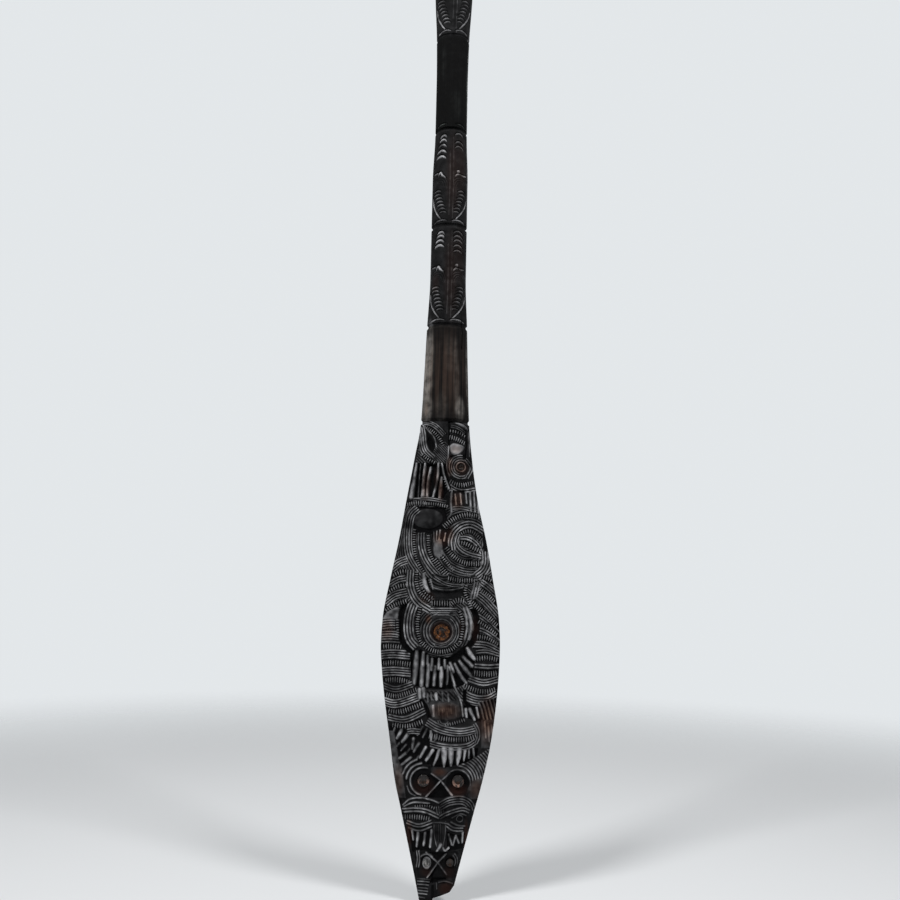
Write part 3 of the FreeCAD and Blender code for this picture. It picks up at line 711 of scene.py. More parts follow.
# The bare shield under the hand, and the cheek at its right
face.bare([(-22, 208), (0, 206.6), (14, 208), (20, 197), (23, 182), (16, 176), (2, 175), (-8, 178),
           (-12, 190), (-24, 200)], 1.2, 0.1)
face.hatch([(-20, 206), (13, 206), (18, 197), (-14, 196)], 3.1, 0.22)
face.bare([(-9, 192), (-3, 194.6), (12, 195.4), (20.6, 192), (21.6, 184), (16, 178), (5, 175.6),
           (-7, 179)], 1.5, 0.16)
for side, low, high, width in (
        (-20.6, 198.6, 206.6, 4.8), (-16.4, 200, 207.6, 4.6), (-3.5, 197.6, 203, 4.4),
        (-6, 181, 191, 3.4), (3.5, 179, 187, 2.8), (12, 184, 191.6, 2.8), (-12.2, 195, 203, 2.8),
        (9, 195.6, 203, 2.6), (-8.6, 197, 204, 2.2), (3, 196, 204, 2.4), (-0.6, 182, 191, 2),
        (8, 180, 188, 2), (17, 181, 190, 2)):
    face.finger([(side, high), (side + 0.8, low)], (width, width * 0.8), 1.6,
                0.9 if width > 2.8 else 0.35, top=0.1, sharp=2)
face.trench([(-18, 196), (-13, 189), (-9, 178)], 4.6, 2.8)
face.trench([(26, 206), (26.5, 196), (34, 190.5), (44, 189.5)], 4.0, 2.8)
face.bare([(25, 192), (42, 191), (43, 176), (27, 176)], 2.6)
face.finger([(14.6, 212), (19.4, 203), (22.6, 194), (24.8, 180)], (2.2, 2.6, 2.2, 1.8), 1.6)
for points, widths in (
        (((27.4, 188), (28.6, 177)), (4.2, 3.0)), (((31.6, 188), (36.6, 178)), (4.8, 3.4)),
        (((38.4, 190), (41, 180)), (3.2, 2.8))):
    face.finger(points, widths, 2.6)
face.bare([(41, 195), (60, 200), (58, 176), (44, 176)], 1.9)
for number in range(6):
    side = 40.6 + 3.8 * number
    face.finger([(side, 195 + number * 0.9), (side + 3, 188), (side + 5.6, 178)], (2.4, 2.8, 2.4), 1.9,
                0.45, top=-0.1)
face.bare([(44, 178), (59, 178), (54, 150), (44, 150)], 0.8, 0.1)
for side, low, high in (
        (47, 160, 176), (50.6, 156, 174), (54.4, 160, 172)):
    face.finger([(side, high), (side + 1.5, low)], (3.0, 2.4), 1.5, 0.5, top=-0.1)

# The open mouth: notched lip, ridges and long pointed teeth
face.bare([(-8, 179), (8, 177), (26, 181), (38, 176), (40, 160), (-10, 160)], 1.6, 0.05)
face.band([(7, 172.2), (16, 174.4), (26, 177.6)], "#", 4.4)
face.band(arc((5.5, 178), 5.6, 190, 330), "||", 1.9, top=-0.3)
for cut in (
        ([(-12, 175.6), (-2, 170), (10, 166.6), (24, 165.6), (38, 168.4)], "||||", 2.4, 0.75),
        ([(-9, 161.6), (10, 158.6), (28, 158.8), (38, 161.5)], "#", 6.6),
        ([(-24, 160), (-12, 155.4), (0, 152), (16, 150.6), (30, 152), (38.6, 157)], "|||", 2.4, 0.8),
        ([(36.6, 174), (40, 168), (40.8, 161), (38.4, 154.6)], "||", 2.3, 0.8)):
    face.band(*cut)
face.bare([(-8, 148.4), (0, 148.8), (16, 147.6), (30, 148.4), (41, 150), (40, 140), (28, 134), (10, 130),
           (-6, 130)], 3.0)
for points, widths in (
        (((1, 148), (-1.4, 140), (-4.4, 132.6)), (3.8, 3.2, 1.8)),
        (((6.2, 149), (6.3, 142), (6.3, 130.6)), (8.0, 6.2, 1.8)),
        (((13, 149), (13.2, 142), (13.4, 131)), (7.4, 5.8, 1.8)),
        (((21.6, 149), (20.8, 142), (20, 133.4)), (7.4, 5.8, 1.8)),
        (((27.4, 148), (26.4, 137.5)), (4.4, 1.8)), (((31.4, 149), (31.4, 140)), (3.0, 1.8)),
        (((35.6, 149.6), (37.2, 139.6)), (3.0, 1.8))):
    face.finger(points, widths, 3.0, 1.0 if widths[0] > 3.4 else 0.6, sharp=2.6)
face.bare([(-50, 170), (-22, 170), (-9, 166), (-8, 146), (-6, 133), (-40, 133), (-50, 150)], 2.0)
for start, end, width in (
        ((-5.5, 147.5), (-12, 137.5), 4.2), ((-12.8, 150), (-18.5, 140), 3.8),
        ((-20, 153.5), (-24.8, 145.5), 4.0), ((-25.6, 158), (-26.4, 148.5), 3.8),
        ((-33.4, 143.4), (-40, 138), 3.6), ((-28, 139.4), (-37, 132), 3.6),
        ((-31.5, 162), (-37, 154.6), 4.6), ((-38, 166), (-42.6, 158), 4.2), ((-8, 166), (-7.4, 158), 3.6),
        ((-12, 168), (-16, 160), 2.8), ((-16.5, 170), (-21.5, 162), 2.8), ((-40, 153), (-46, 146), 2.8),
        ((-1.6, 163), (-4, 156), 2.4), ((-33, 152), (-38, 146), 2.6), ((-29, 148), (-32.6, 143.6), 2.4),
        ((-20, 141), (-23, 136), 2.4), ((-45, 168), (-48, 160), 2.6)):
    face.finger([start, end], (width, width * 0.8), 2.2, 1.0 if width > 3 else 0.4, sharp=3)
face.band([(-32, 164.8), (-26, 165.8), (-19, 165.2)], "|||", 2.2)
face.bare([(-52, 165), (-46, 165), (-39, 132), (-46, 132)], 0.3, 0.22)

# The lower mask: round eyes, crossing brows and a dark three-cornered nose
face.bare([(-45, 132), (-36.6, 132), (-34, 112), (-30, 100), (-41, 100)], 0.2, 0.2)
face.bare([(-36, 132), (-4, 131), (8, 131), (36, 136), (48, 132), (46, 116), (34, 100), (-32, 100)], 1.4,
          0.02)
face.nested([(20, 133), (30, 136), (40, 142), (52, 149), (51, 130), (45, 117), (36, 113), (30, 118),
             (26, 128)], right_eye, 2.8, 0.6)
for cut in (
        ([(33, 117), (46, 121), (43, 100), (28, 100)], 0.5, 0.12),
        ([(-7, 131), (12, 131), (14, 123), (3, 117), (-7, 123)], 1.3, 0.06),
        ([(-9, 124), (-6, 124), (3, 118), (-8, 107), (-9, 108)], 2.2),
        ([(2.5, 117), (-11, 100.6), (15, 100.6)], 2.8, 0)):
    face.bare(*cut)
face.pit((-14.3, 117.5), 11.8, 11.8, 1.6)
face.pit((20.7, 116.5), 12.0, 12.0, 3.0)
for cut in (
        (arc(left_eye, 13.4, 72, 262), "|", 3.0), (arc(left_eye, 17.6, 96, 176), "|", 3.4),
        (arc(left_eye, 22.2, 108, 164), "|", 3.6)):
    face.band(*cut)
face.band([(-31, 112), (-28, 105.6), (-22, 102.5)], "|", 2.4, 0.6, top=-0.2)
face.band(arc((20, 115.4), 13.4, -10, 150), "|", 2.4, 0.5, top=-0.1)
for cut in (
        ([(3.3, 118), (-12.4, 100.8)], (2.0, 2.4), 2.6), ([(3.3, 118), (16, 102.6)], (2.0, 3.0), 2.6),
        ([(3.6, 118), (-6.4, 124.6)], (1.8, 2.2), 2.2, 0.8),
        ([(3.6, 118), (12, 125)], (1.8, 2.2), 2.2, 0.4)):
    face.finger(*cut)

# The lips of the lower mask, its tongue, and teeth at both sides
for points, pattern, pitch, shine in (
        ([(-35, 92.6), (-28, 99), (-18, 101), (-7, 99.6), (2, 96.4)], "|", 2.8, 1),
        ([(-34, 91.6), (-23, 96.4), (-7, 95.8)], "|", 2.6, 1),
        ([(-22, 92.6), (-10, 93.4), (-3, 91.4)], "#", 3.8, 1),
        ([(-35.4, 87.6), (-22, 89.4), (-11, 88.4), (3, 83)], "||", 3.0, 1),
        ([(-32, 81.8), (-20, 82.2), (-8, 80.8)], "#", 5.8, 1),
        ([(-30.4, 77), (-18, 74.2), (-5, 78.4)], "||", 2.6, 1),
        ([(-29, 71.6), (-17, 69.2), (-5, 73.8)], "|", 3.0, 1), ([(0.5, 93), (1.5, 86)], "||", 2.4, 0.8),
        ([(5, 93), (5.6, 86)], "||", 2.2, 0.6),
        ([(3, 95.6), (12, 100.4), (25, 101.6), (34, 97), (38, 89)], "||", 2.5, 0.7),
        ([(4, 91), (13, 95.8), (26, 96.6), (33, 91)], "||", 2.4, 0.6),
        ([(3, 82.4), (11, 86.6), (25, 90.6), (33, 88)], "||", 2.6, 0.7),
        ([(15, 82), (24, 86), (30, 84)], "|", 2.2, 0.5), (arc((23.2, 81.4), 3.2, 0, 360), "|", 1.9, 0.6),
        ([(10, 75.8), (17, 71.4), (27, 70.8)], "||", 2.8, 0.9),
        ([(14, 78.4), (21, 75), (29, 74)], "|", 2.6, 0.8)):
    face.band(points, pattern, pitch, 0.85 * shine)
face.bare([(-28, 69), (-17, 66.4), (-5, 70), (-5, 50), (-24, 48)], 2.4)
face.bare([(11, 69), (20, 65), (29, 67), (27, 52), (11, 50)], 2.2)
for points, widths in (
        (((-24.8, 69), (-23.4, 60)), (3.4, 2.4)), (((-18.6, 67), (-19.8, 54)), (4.2, 2.6)),
        (((-11.4, 67), (-12.8, 55)), (3.6, 2.6)), (((-4.8, 70), (-6.2, 54)), (3.8, 2.8)),
        (((12.4, 66), (15.8, 56.4)), (2.6, 2.4)), (((19.6, 65), (17, 56)), (2.6, 2.4)),
        (((19.6, 65), (22.8, 58)), (2.6, 2.4)), (((26.6, 68), (26.4, 58)), (2.8, 2.2))):
    face.finger(points, widths, 2.4, 0.9 if widths[0] > 2.7 else 0.6, top=-0.1)
face.bare([(-3, 79), (10, 79), (10, 60), (7, 51), (0, 51), (-2, 60)], 1.2, 0.05)
face.band([(-2.6, 79), (-2.2, 66), (0.6, 54)], "|", 2.0, 0.5, top=-0.3)
face.band([(8.8, 79), (8.8, 66), (6.6, 54)], "|", 2.0, 0.5, top=-0.3)
face.band([(3, 77), (3, 60)], "||", 1.8, 0.3, top=-0.5)
face.band([(-5, 77.2), (3, 77.6), (11, 76.6)], "|", 2.4, 0.6, top=-0.3)
face.finger([(0.4, 49.6), (4.6, 56.4)], (2.6, 4.4), 2.0, top=0.1)
face.finger([(7, 53.5), (9, 50.4), (12.6, 53.4)], (2.4, 2.4, 2.8), 2.0, 0.8)

# The small worn mask at the tip
for cut in (
        ([(-22, 50), (22, 50), (20, 24), (-18, 24)], 1.7, 0.01),
        ([(1.5, 38), (-9, 25), (11, 25), (11, 20), (-6, 20)], 2.8), ([(2, 40), (-9, 49), (12, 49)], 2.2)):
    face.bare(*cut)
face.pit((-9, 38.5), 6.2, 7.6, 2.0)
face.pit((14.1, 39), 6.4, 7.4, 3.0)
face.boss((-9.3, 38.8), 4.6, 6.4, top=0.0, shine=0.5)
face.band(arc((-9.4, 39.6), 7.6, 35, 150), "|", 2.6, 0.8)
face.band([(-18.6, 50), (-17.5, 42), (-18.5, 34)], "||", 2.2, 0.5, top=-0.3)
face.band(arc((12, 40), 9.0, -30, 50), "||", 2.2, 0.3, top=-0.3)
for start, end in (
        ((2, 39.4), (-8.6, 24.6)), ((2, 39.4), (11, 28)), ((1.4, 39.6), (-10, 48.6)),
        ((2, 39.4), (10.4, 47.6))):
    face.finger([start, end], (1.9, 2.1), 2.6, 0.45, top=-0.1)
for height, reach, shine in (
        (23, 9.5, 0.3), (20.8, 9, 0.9), (17.8, 8.5, 0.6), (14.6, 8, 0.4), (11.8, 8, 0.8), (9, 7.4, 1.0),
        (5.4, 6, 0.4)):
    face.band([(-18.6, height), (-12, height + 0.4), (-17.6 + reach * 1.3, height)], "|", 2.2,
              0.7 * shine)
face.band([(2.6, 20.6), (10, 21.6), (17.6, 19)], "|", 2.4, 0.3, top=-0.3)
face.band([(1, 20), (1.6, 14)], "|", 2.2, 0.3, top=-0.3)
face.bare([(-4, 18), (-1, 18), (-1, 0), (-4, 0)], 1.4)
# Raised and sunken masses under the fine carving, the sunk eye sockets, and worn brown places
face.roughen(11, 14, 0.09)
face.roughen(12, 56, 0.12)
face.soften(1)
for centre, half_width, half_height, lift in (
        ((1, 266), 20, 22, 0.7), ((-50, 205), 14, 60, 0.5), ((48, 225), 12, 50, 0.5),
        ((14, 152), 26, 16, 0.6), ((4, 190), 20, 16, 0.4), ((-22, 88), 14, 16, 0.4),
        ((26, 356), 18, 22, 0.6), ((-37, 350), 8, 34, 0.4), ((2, 130), 40, 5, -0.7),
        ((0, 402), 34, 5, -0.3), ((2, 44), 18, 6, -0.4)):
    face.swell(centre, half_width, half_height, lift)
socket_room = 0.15
ring_seat_depth, peg_seat_depth = 2.7, 4.5
for side, height, ring_radius, peg_radius in (
        (1.0, 265.0, 8.35, 4.85), (17.9, 437.5, 0, 3.25), (-14.3, 117.5, 5.95, 3.35),
        (20.7, 117.5, 5.95, 3.35), (-9.3, 39.0, 0, 3.65), (14.1, 39.0, 0, 3.65)):
    if ring_radius:
        face.hole((side, height), ring_radius + socket_room, ring_seat_depth)
    face.hole((side, height), peg_radius + socket_room, peg_seat_depth)
for centre, half_width, half_height, amount in (
        ((7, 186), 19, 10, 0.9), ((2, 126), 9, 5, 1.0), ((-14, 112), 13, 11, 0.7),
        ((21, 109), 12, 8, 1.0), ((-40, 115), 7, 20, 0.6), ((40, 110), 10, 12, 0.7),
        ((50, 178), 12, 28, 0.9), ((-56, 266), 9, 14, 0.6), ((1, 265), 14, 13, 0.9),
        ((-13, 278), 4, 6, 1.0), ((22, 268), 4, 14, 0.6), ((18, 437), 10, 10, 0.9),
        ((6, 438), 5, 14, 0.7), ((-19, 418), 6, 22, 0.6), ((-3, 412), 4, 14, 0.8),
        ((15, 402), 9, 12, 0.8), ((0, 362), 12, 10, 0.8), ((-15, 300), 10, 8, 0.6),
        ((11, 15), 10, 8, 0.9), ((-10, 30), 8, 6, 0.5), ((14, 30), 8, 8, 0.4), ((12, 456), 9, 6, 0.35),
        ((-30, 362), 3, 10, 0.5), ((-28, 66), 4, 18, 0.9), ((30, 64), 3, 20, 0.9),
        ((36, 268), 5, 16, 0.5), ((8, 366), 5, 10, 0.6), ((-8, 426), 4, 14, 0.4)):
    face.rub(centre, half_width, half_height, amount)


# The timber as it stands, in several lengths that meet at cuts across it. Each length is a closed body:
# its front follows the carved map, its back is smooth, and the ends are hidden where the next begins.
edge_fade = 0.035


def even_shares(flatness, count):
    """Places from -1 to 1 across a half oval, evenly spread along its curve."""
    turns = np.linspace(-math.pi / 2, math.pi / 2, 4001)
    steps = np.hypot(np.diff(np.sin(turns)), flatness * np.diff(np.cos(turns)))
    run = np.concatenate([[0], np.cumsum(steps)])
    return np.sin(np.interp(np.linspace(0, run[-1], count + 1), run, turns))


def tip_low(x):
    """The lowest height of the worn tip at each place across it."""
    corner_side = tip_foot_right + tip_slant_reach
    corner_height = tip_foot_height + tip_slant_reach * math.tan(tip_slant)
    round_side = corner_side - tip_corner_radius * math.sin(tip_slant)
    round_height = corner_height + tip_corner_radius * math.cos(tip_slant)
    end_side = round_side + tip_corner_radius * math.sin(tip_corner_slant)
    end_height = round_height - tip_corner_radius * math.cos(tip_corner_slant)
    across = np.clip((x - round_side) / tip_corner_radius, -1, math.sin(tip_corner_slant))
    slanting = tip_foot_height + (x - tip_foot_right) * math.tan(tip_slant)
    corner = round_height - tip_corner_radius * np.sqrt(1 - across ** 2)
    steep = end_height + (x - end_side) * math.tan(tip_corner_slant)
    low = np.where(x < corner_side, slanting, np.where(x < end_side, corner, steep))
    return np.where(x <= tip_foot_right, 0, low)


def timber_length(name, rows, shares, every, carved, carved_back, material):
    """One closed length of the timber; the back has one column for so many of the front's."""
    across = np.asarray(shares)[None, :]
    heights = np.asarray(rows, float)[:, None] + 0 * across
    if rows[0] == 0:
        # The tip's lowest row follows its worn end; each pass settles the rows further.
        for _ in range(6):
            middle, half, thick = plank_at(heights)
            low = tip_low(middle + half * across)
            heights = low + (np.asarray(rows)[:, None] / rows[-1]) * (rows[-1] - low)
    middle, half, thick = plank_at(heights)
    taken = ring_cut(heights)
    near_butt = np.clip((heights - (butt_height - butt_rounding)) / butt_rounding, 0, 1)
    taken = taken + butt_rounding * (1 - np.sqrt(1 - near_butt ** 2))
    half, thick = half - taken, thick - taken
    bulge = np.sqrt(np.clip(1 - across ** 2, 0, 1))
    slope_x, slope_y = across / half, bulge / thick
    length = np.hypot(slope_x, slope_y)
    slope_x, slope_y = slope_x / length, slope_y / length
    flat_x = middle + half * across
    fade = smooth_step((1 - np.abs(across)) / edge_fade)

    def side(cuts, forward):
        """Points, wear and brown wood of the front, where forward is -1, or of the back."""
        relief, wear_and_highlight, brown = cuts(flat_x, heights, across)
        relief = relief * fade
        y = forward * (bulge * thick + relief * slope_y)
        return np.stack([flat_x + relief * slope_x, y, heights], -1), wear_and_highlight, brown

    back_columns = np.arange(len(shares))[::-every][1:-1]
    points, wear_and_highlight, brown = (
        np.concatenate([front, back[:, back_columns]], 1)
        for front, back in zip(side(carved, -1), side(carved_back, 1)))

    row_count, loop = points.shape[:2]
    here = np.arange(loop)
    after = (here + 1) % loop
    start = (np.arange(row_count - 1) * loop)[:, None]
    quads = np.stack([start + here, start + after, start + loop + after, start + loop + here], -1)
    quads = quads.reshape(-1, 4)
    last_column = len(shares) - 1
    end_faces = []
    for row, turned in ((0, True), (row_count - 1, False)):
        for column in range(0, last_column, every):
            front_part = list(range(column, column + every + 1))
            behind = [place for place in (column + every, column) if 0 < place < last_column]
            ring = front_part + [loop - place // every for place in behind]
            ring = [row * loop + place for place in ring]
            end_faces.append(ring[::-1] if turned else ring)

    mesh = bpy.data.meshes.new(name)
    corner_list = np.concatenate([quads.ravel()] + [np.array(face_ring) for face_ring in end_faces])
    sizes = np.concatenate([np.full(len(quads), 4), [len(face_ring) for face_ring in end_faces]])
    mesh.vertices.add(row_count * loop)
    mesh.vertices.foreach_set("co", (points * mm).astype(np.float32).ravel())
    mesh.loops.add(len(corner_list))
    mesh.loops.foreach_set("vertex_index", corner_list.astype(np.int32))
    mesh.polygons.add(len(sizes))
    mesh.polygons.foreach_set("loop_start", np.concatenate([[0], np.cumsum(sizes)[:-1]]).astype(np.int32))
    mesh.polygons.foreach_set("use_smooth", np.arange(len(sizes)) < len(quads))
    mesh.update(calc_edges=True)
    for label, values in (("wear_and_highlight", wear_and_highlight), ("brown", brown)):
        layer = mesh.attributes.new(label, "FLOAT", "POINT")
        layer.data.foreach_set("value", values.astype(np.float32).ravel())
    mesh.validate()
    mesh.materials.append(material)
    piece = bpy.data.objects.new(name, mesh)
    bpy.context.scene.collection.objects.link(piece)
    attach(piece, "root")
    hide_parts("paddle_timber")
    return piece


def carved_face(x, height, share):
    return [face.read(field, x, height) for field in (face.depth, face.wear_and_highlight, face.brown)]


def smooth_back(x, height, share):
    return 0 * x, 0 * x + back_wear, 0 * x


carved_timber = bpy.data.materials.new("black_carved_timber")
carving_step = 0.42
back_wear = 0.1
blade_shares = even_shares(0.2, 280)
for name, low, high in (("blade_tip", 0, 110), ("blade_mask", 110, 210), ("blade_eye", 210, 300),
                        ("blade_spiral", 300, 400), ("blade_top", 400, neck_height)):
    rows = np.linspace(low, high, int((high - low) / carving_step) + 1)
    timber_length(name, rows, blade_shares, 7, carved_face, smooth_back, carved_timber)

# The loom: an oval shaft with the same worn figure in each of its two carved panels and in the head,
# and plain lengths between them. A drying crack runs through the first ring groove.
shaft_radius, shaft_reach = 17.7, 19.7
loom = CarvedMap(-28, 28, 480, butt_height + 1, 0)


def round_shaft(points):
    """From places across the front, as seen, to distances round the shaft."""
    return [(shaft_radius * math.asin(max(-0.99, min(0.99, x / shaft_reach))), height)
            for x, height in points]


def loom_figure(base, stretch, left_brows, right_brows, stroke, lens_top):
    """Brows, an eye with its curl, bars and a pointed foot, all between two ring grooves."""
    def up(points):
        return round_shaft([(x, base + stretch * height) for x, height in points])

    def crescents(*rows):
        for points, *size in rows:
            loom.crescent(up(points), *size)

    for number, height in enumerate(left_brows):
        left = -13 - 0.9 * number
        crescents(([(left, height - 2.2), (left * 0.8, height + 0.2), (left * 0.56, height + 0.5),
                    (-5.4, height - 2)], 2.9 + 0.2 * number, 1.2, 0.85, 0.6))
    for height in right_brows:
        crescents(([(5, height - 2), (8, height + 0.4), (11.6, height + 0.3), (15.6, height - 2.4)],
                   2.7, 1.1, 0.3, 0.6))
    crescents(
        ([(-18, stroke + 3.4), (-14, stroke + 3.6), (-10, stroke + 2.2)], 2.4, 1.2, 0.5),
        ([(-13.4, stroke + 0.6), (-11, stroke + 4.4), (-9.6, stroke + 1.6), (-5, stroke - 3)],
         2.8, 1.4, 1.0, 0.5))
    loom.boss(up([(9.4, stroke + 6)])[0], 1.7, 1.7, top=0.2, edge=1.2, shine=0.9)
    crescents(([(5.4, stroke - 1), (8.4, stroke + 2.2), (12, stroke + 1.6)], 2.2, 1.1, 0.6),
              ([(11.6, stroke + 3), (14, stroke + 1.4), (18, stroke + 2.6)], 2.2, 1.1, 0.5))
    for radius in (5, 7.6, 10.2):
        loom.band(up(arc((11.4, stroke - 12), radius, 30, 200, 0.8)), "|", 2, 0.12, floor=0.7)
        loom.band(up(arc((-11.4, stroke - 11), radius, -20, 150, 0.8)), "|", 2, 0.10, floor=0.7)
    for number in range(7):
        height = lens_top + 14 - 4.2 * number
        reach = 17.4 - 1.2 * max(0, number - 1)
        crescents(([(-reach, height), (-reach + 3.4, height + 0.9), (-reach + 7.4, height + 0.2)],
                   2.2, 1.0, 0.4, 0.5),
                  ([(reach - 8, height), (reach - 4, height + 1.1), (reach - 0.6, height + 0.2)],
                   2.2, 0.9, 0.18, 0.5))
    crescents(([(-18.6, lens_top + 8), (-17.6, lens_top - 2), (-14, lens_top - 12), (-8, lens_top - 21)],
               1.9, 1.1, 0.75, 0.3),
              ([(18.4, lens_top + 6), (17, lens_top - 2), (12.4, lens_top - 12), (4, lens_top - 22)],
               1.9, 1.0, 0.6, 0.3))
    for side, low, high in ((-0.6, 12, stroke + 30), (3.4, 8, stroke + 46)):
        groove = up([(side, low), (side + 0.6, (low + high) / 2), (side, high)])
        loom.band(groove, "|", 2.0, 0.16, floor=0.7)
    for side, shine in ((-1, 0.6), (1, 0.5)):
        crescents(([(17 * side, 3.4), (12 * side, 5.6), (7 * side, 6), (3 * side, 5.2)],
                   1.9, 0.9, shine, 0.5))


loom_figure(first_ring, 1.0, (105, 101, 95.5, 90), (106, 101, 96, 90, 84), 62, 28)
loom_figure(second_ring, 1.0, (105.6, 100.6, 94.4, 87.6, 80.8), (108, 98, 92.6), 58, 26)
loom_figure(fourth_ring, 1.08, (105.6, 100.6, 94.4, 87.6, 80.8), (104, 98, 92), 58, 26)
for side, shine in ((-1, 0.75), (1, 0.6)):
    over_ring = [(17 * side, third_ring + 3.4), (12 * side, third_ring + 5.4), (6 * side, third_ring + 5.8)]
    loom.crescent(round_shaft(over_ring), 2.6, 1.0, shine, 0.5)
loom.roughen(21, 14, 0.05)
loom.soften(1)
# Lighter stain: real polish down the front of the neck and shaft, and a painted sheen along both sides of
# the shaft.
for centre, half_width, half_height, amount in (
        ((-19, 540), 10, 70, 1.15), ((-16, 500), 8, 18, 0.8), ((12, 500), 6, 18, 0.7),
        ((24, 545), 6, 60, 0.6), ((-3, 500), 7, 26, 0.16), ((3, 560), 7, 30, 0.1),
        ((9, 530), 4, 34, 0.22), ((25, 650), 5, 70, 0.12), ((-25, 650), 5, 70, 0.1),
        ((25, 760), 5, 70, 0.2), ((25, 880), 6, 80, 0.9), ((6, 850), 8, 26, 0.1),
        ((-10, 900), 5, 30, 0.12), ((8, 560), 3, 26, 0.25)):
    loom.polish(centre, half_width, half_height, amount)
loom.trench(round_shaft([(14.6, 598), (14.9, 584), (14.2, 566)]), 1.1, 2.2)
for centre, half_width, half_height, amount in (
        ((0, 540), 28, 56, 0.7), ((3, 650), 9, 60, 0.32), ((3, 765), 9, 60, 0.36),
        ((-14, 640), 7, 14, 0.3), ((12, 775), 9, 44, 0.3), ((12, 670), 9, 44, 0.26),
        ((-18, 500), 6, 12, 0.9)):
    loom.rub(centre, half_width, half_height, amount)


def carved_loom(x, height, share):
    round_place = shaft_radius * np.arcsin(np.clip(share, -1, 1)) + 0 * height
    return [loom.read(field, round_place, height) for field in (loom.depth, loom.wear_and_highlight, loom.brown)]


neck_timber = bpy.data.materials.new("dark_neck_timber")
grip_timber = bpy.data.materials.new("black_grip_timber")
shaft_shares = np.sin(np.linspace(-math.pi / 2, math.pi / 2, 125))
for name, low, high, step, material in (
        ("neck", neck_height, first_ring, 1.0, neck_timber),
        ("loom_lower", first_ring, second_ring, 0.45, carved_timber),
        ("loom_upper", second_ring, third_ring, 0.45, carved_timber),
        ("grip", third_ring, fourth_ring, 0.5, grip_timber),
        ("butt_head", fourth_ring, butt_height, 0.45, carved_timber)):
    rows = np.linspace(low, high, int((high - low) / step) + 1)
    if high == butt_height:
        turns = np.radians(np.linspace(0, 88, 23)[1:])
        rows = np.concatenate([rows[rows < butt_height - butt_rounding],
                               butt_height - butt_rounding + butt_rounding * np.sin(turns)])
    timber_length(name, rows, shaft_shares, 1, carved_loom, carved_loom, material)


# The notches: short bars across every notched strip, cut at an even pitch along it. Each strip's
# line lies on the strip's floor, and the bars stand up from it nearly to the face.
bar_sizes = {"Pitch": 2.4 * mm, "Bar Thickness": 1.45 * mm, "Bar Rise": 1.3 * mm}
furthest_share, bar_width_share = 0.965, 0.98
sunk = strip_floor + 0.1
strip_points, strip_edges, strip_outwards, strip_widths = [], [], [], []
for line, widths in face.strips:
    middle, half, thick = plank_at(line[:, 1])
    share = (line[:, 0] - middle) / half
    kept = np.abs(share) < furthest_share
    if kept.sum() < 2:
        continue
    share = share[kept]
    bulge = np.sqrt(1 - share ** 2)
    out_x, out_y = share / half[kept], -bulge / thick[kept]
    size = np.hypot(out_x, out_y)
    out_x, out_y = out_x / size, out_y / size
    line, widths = line[kept], widths[kept] * bar_width_share * mm
    half, thick = half[kept], thick[kept]
    first = len(strip_points)
    for number in range(len(share)):
        strip_points.append(((line[number, 0] - sunk * out_x[number]) * mm,
                             (-bulge[number] * thick[number] - sunk * out_y[number]) * mm,
                             line[number, 1] * mm))
        strip_outwards.append((out_x[number], out_y[number], 0))
        strip_widths.append(widths[number])
        if number:
            strip_edges.append((first + number - 1, first + number))
strip_mesh = bpy.data.meshes.new("strip_lines")
strip_mesh.from_pydata(strip_points, strip_edges, [])
outward_layer = strip_mesh.attributes.new("outward", "FLOAT_VECTOR", "POINT")
outward_layer.data.foreach_set("vector", np.array(strip_outwards, np.float32).ravel())
width_layer = strip_mesh.attributes.new("strip_width", "FLOAT", "POINT")
width_layer.data.foreach_set("value", np.array(strip_widths, np.float32))
strip_lines = bpy.data.objects.new("strip_lines", strip_mesh)
bpy.context.scene.collection.objects.link(strip_lines)


notch_tree = bpy.data.node_groups.new("notch_bars", "GeometryNodeTree")
notch_tree.interface.new_socket("Geometry", in_out="INPUT", socket_type="NodeSocketGeometry")
size_sockets = {name: notch_tree.interface.new_socket(name, in_out="INPUT", socket_type="NodeSocketFloat")
                for name in bar_sizes}
notch_tree.interface.new_socket("Geometry", in_out="OUTPUT", socket_type="NodeSocketGeometry")
given = add(notch_tree, "NodeGroupInput")
to_curve = add(notch_tree, "GeometryNodeMeshToCurve", {"Mesh": given.outputs["Geometry"]})
resample = add(notch_tree, "GeometryNodeResampleCurve", mode="LENGTH")
notch_tree.links.new(to_curve.outputs["Curve"], resample.inputs["Curve"])
notch_tree.links.new(given.outputs["Pitch"], resample.inputs["Length"])
along = add(notch_tree, "GeometryNodeInputTangent")
keep_along = add(notch_tree, "GeometryNodeCaptureAttribute")
keep_along.capture_items.new("VECTOR", "Along")
notch_tree.links.new(resample.outputs["Curve"], keep_along.inputs["Geometry"])
notch_tree.links.new(along.outputs["Tangent"], keep_along.inputs["Along"])
bar = add(notch_tree, "GeometryNodeMeshUVSphere", {"Segments": 10, "Rings": 6, "Radius": 0.5})
outward = add(notch_tree, "GeometryNodeInputNamedAttribute", {"Name": "outward"}, data_type="FLOAT_VECTOR")
width = add(notch_tree, "GeometryNodeInputNamedAttribute", {"Name": "strip_width"})
upright = add(notch_tree, "FunctionNodeAlignRotationToVector",
              {"Vector": outward.outputs["Attribute"]}, axis="Z")
turned = add(notch_tree, "FunctionNodeAlignRotationToVector",
             {"Rotation": upright.outputs["Rotation"], "Vector": keep_along.outputs["Along"]},
             axis="X", pivot_axis="Z")
twice = add(notch_tree, "ShaderNodeMath", {0: given.outputs["Bar Rise"], 1: 2.0}, operation="MULTIPLY")
bar_size = add(notch_tree, "ShaderNodeCombineXYZ",
               {"X": given.outputs["Bar Thickness"], "Y": width.outputs["Attribute"],
                "Z": twice.outputs["Value"]})
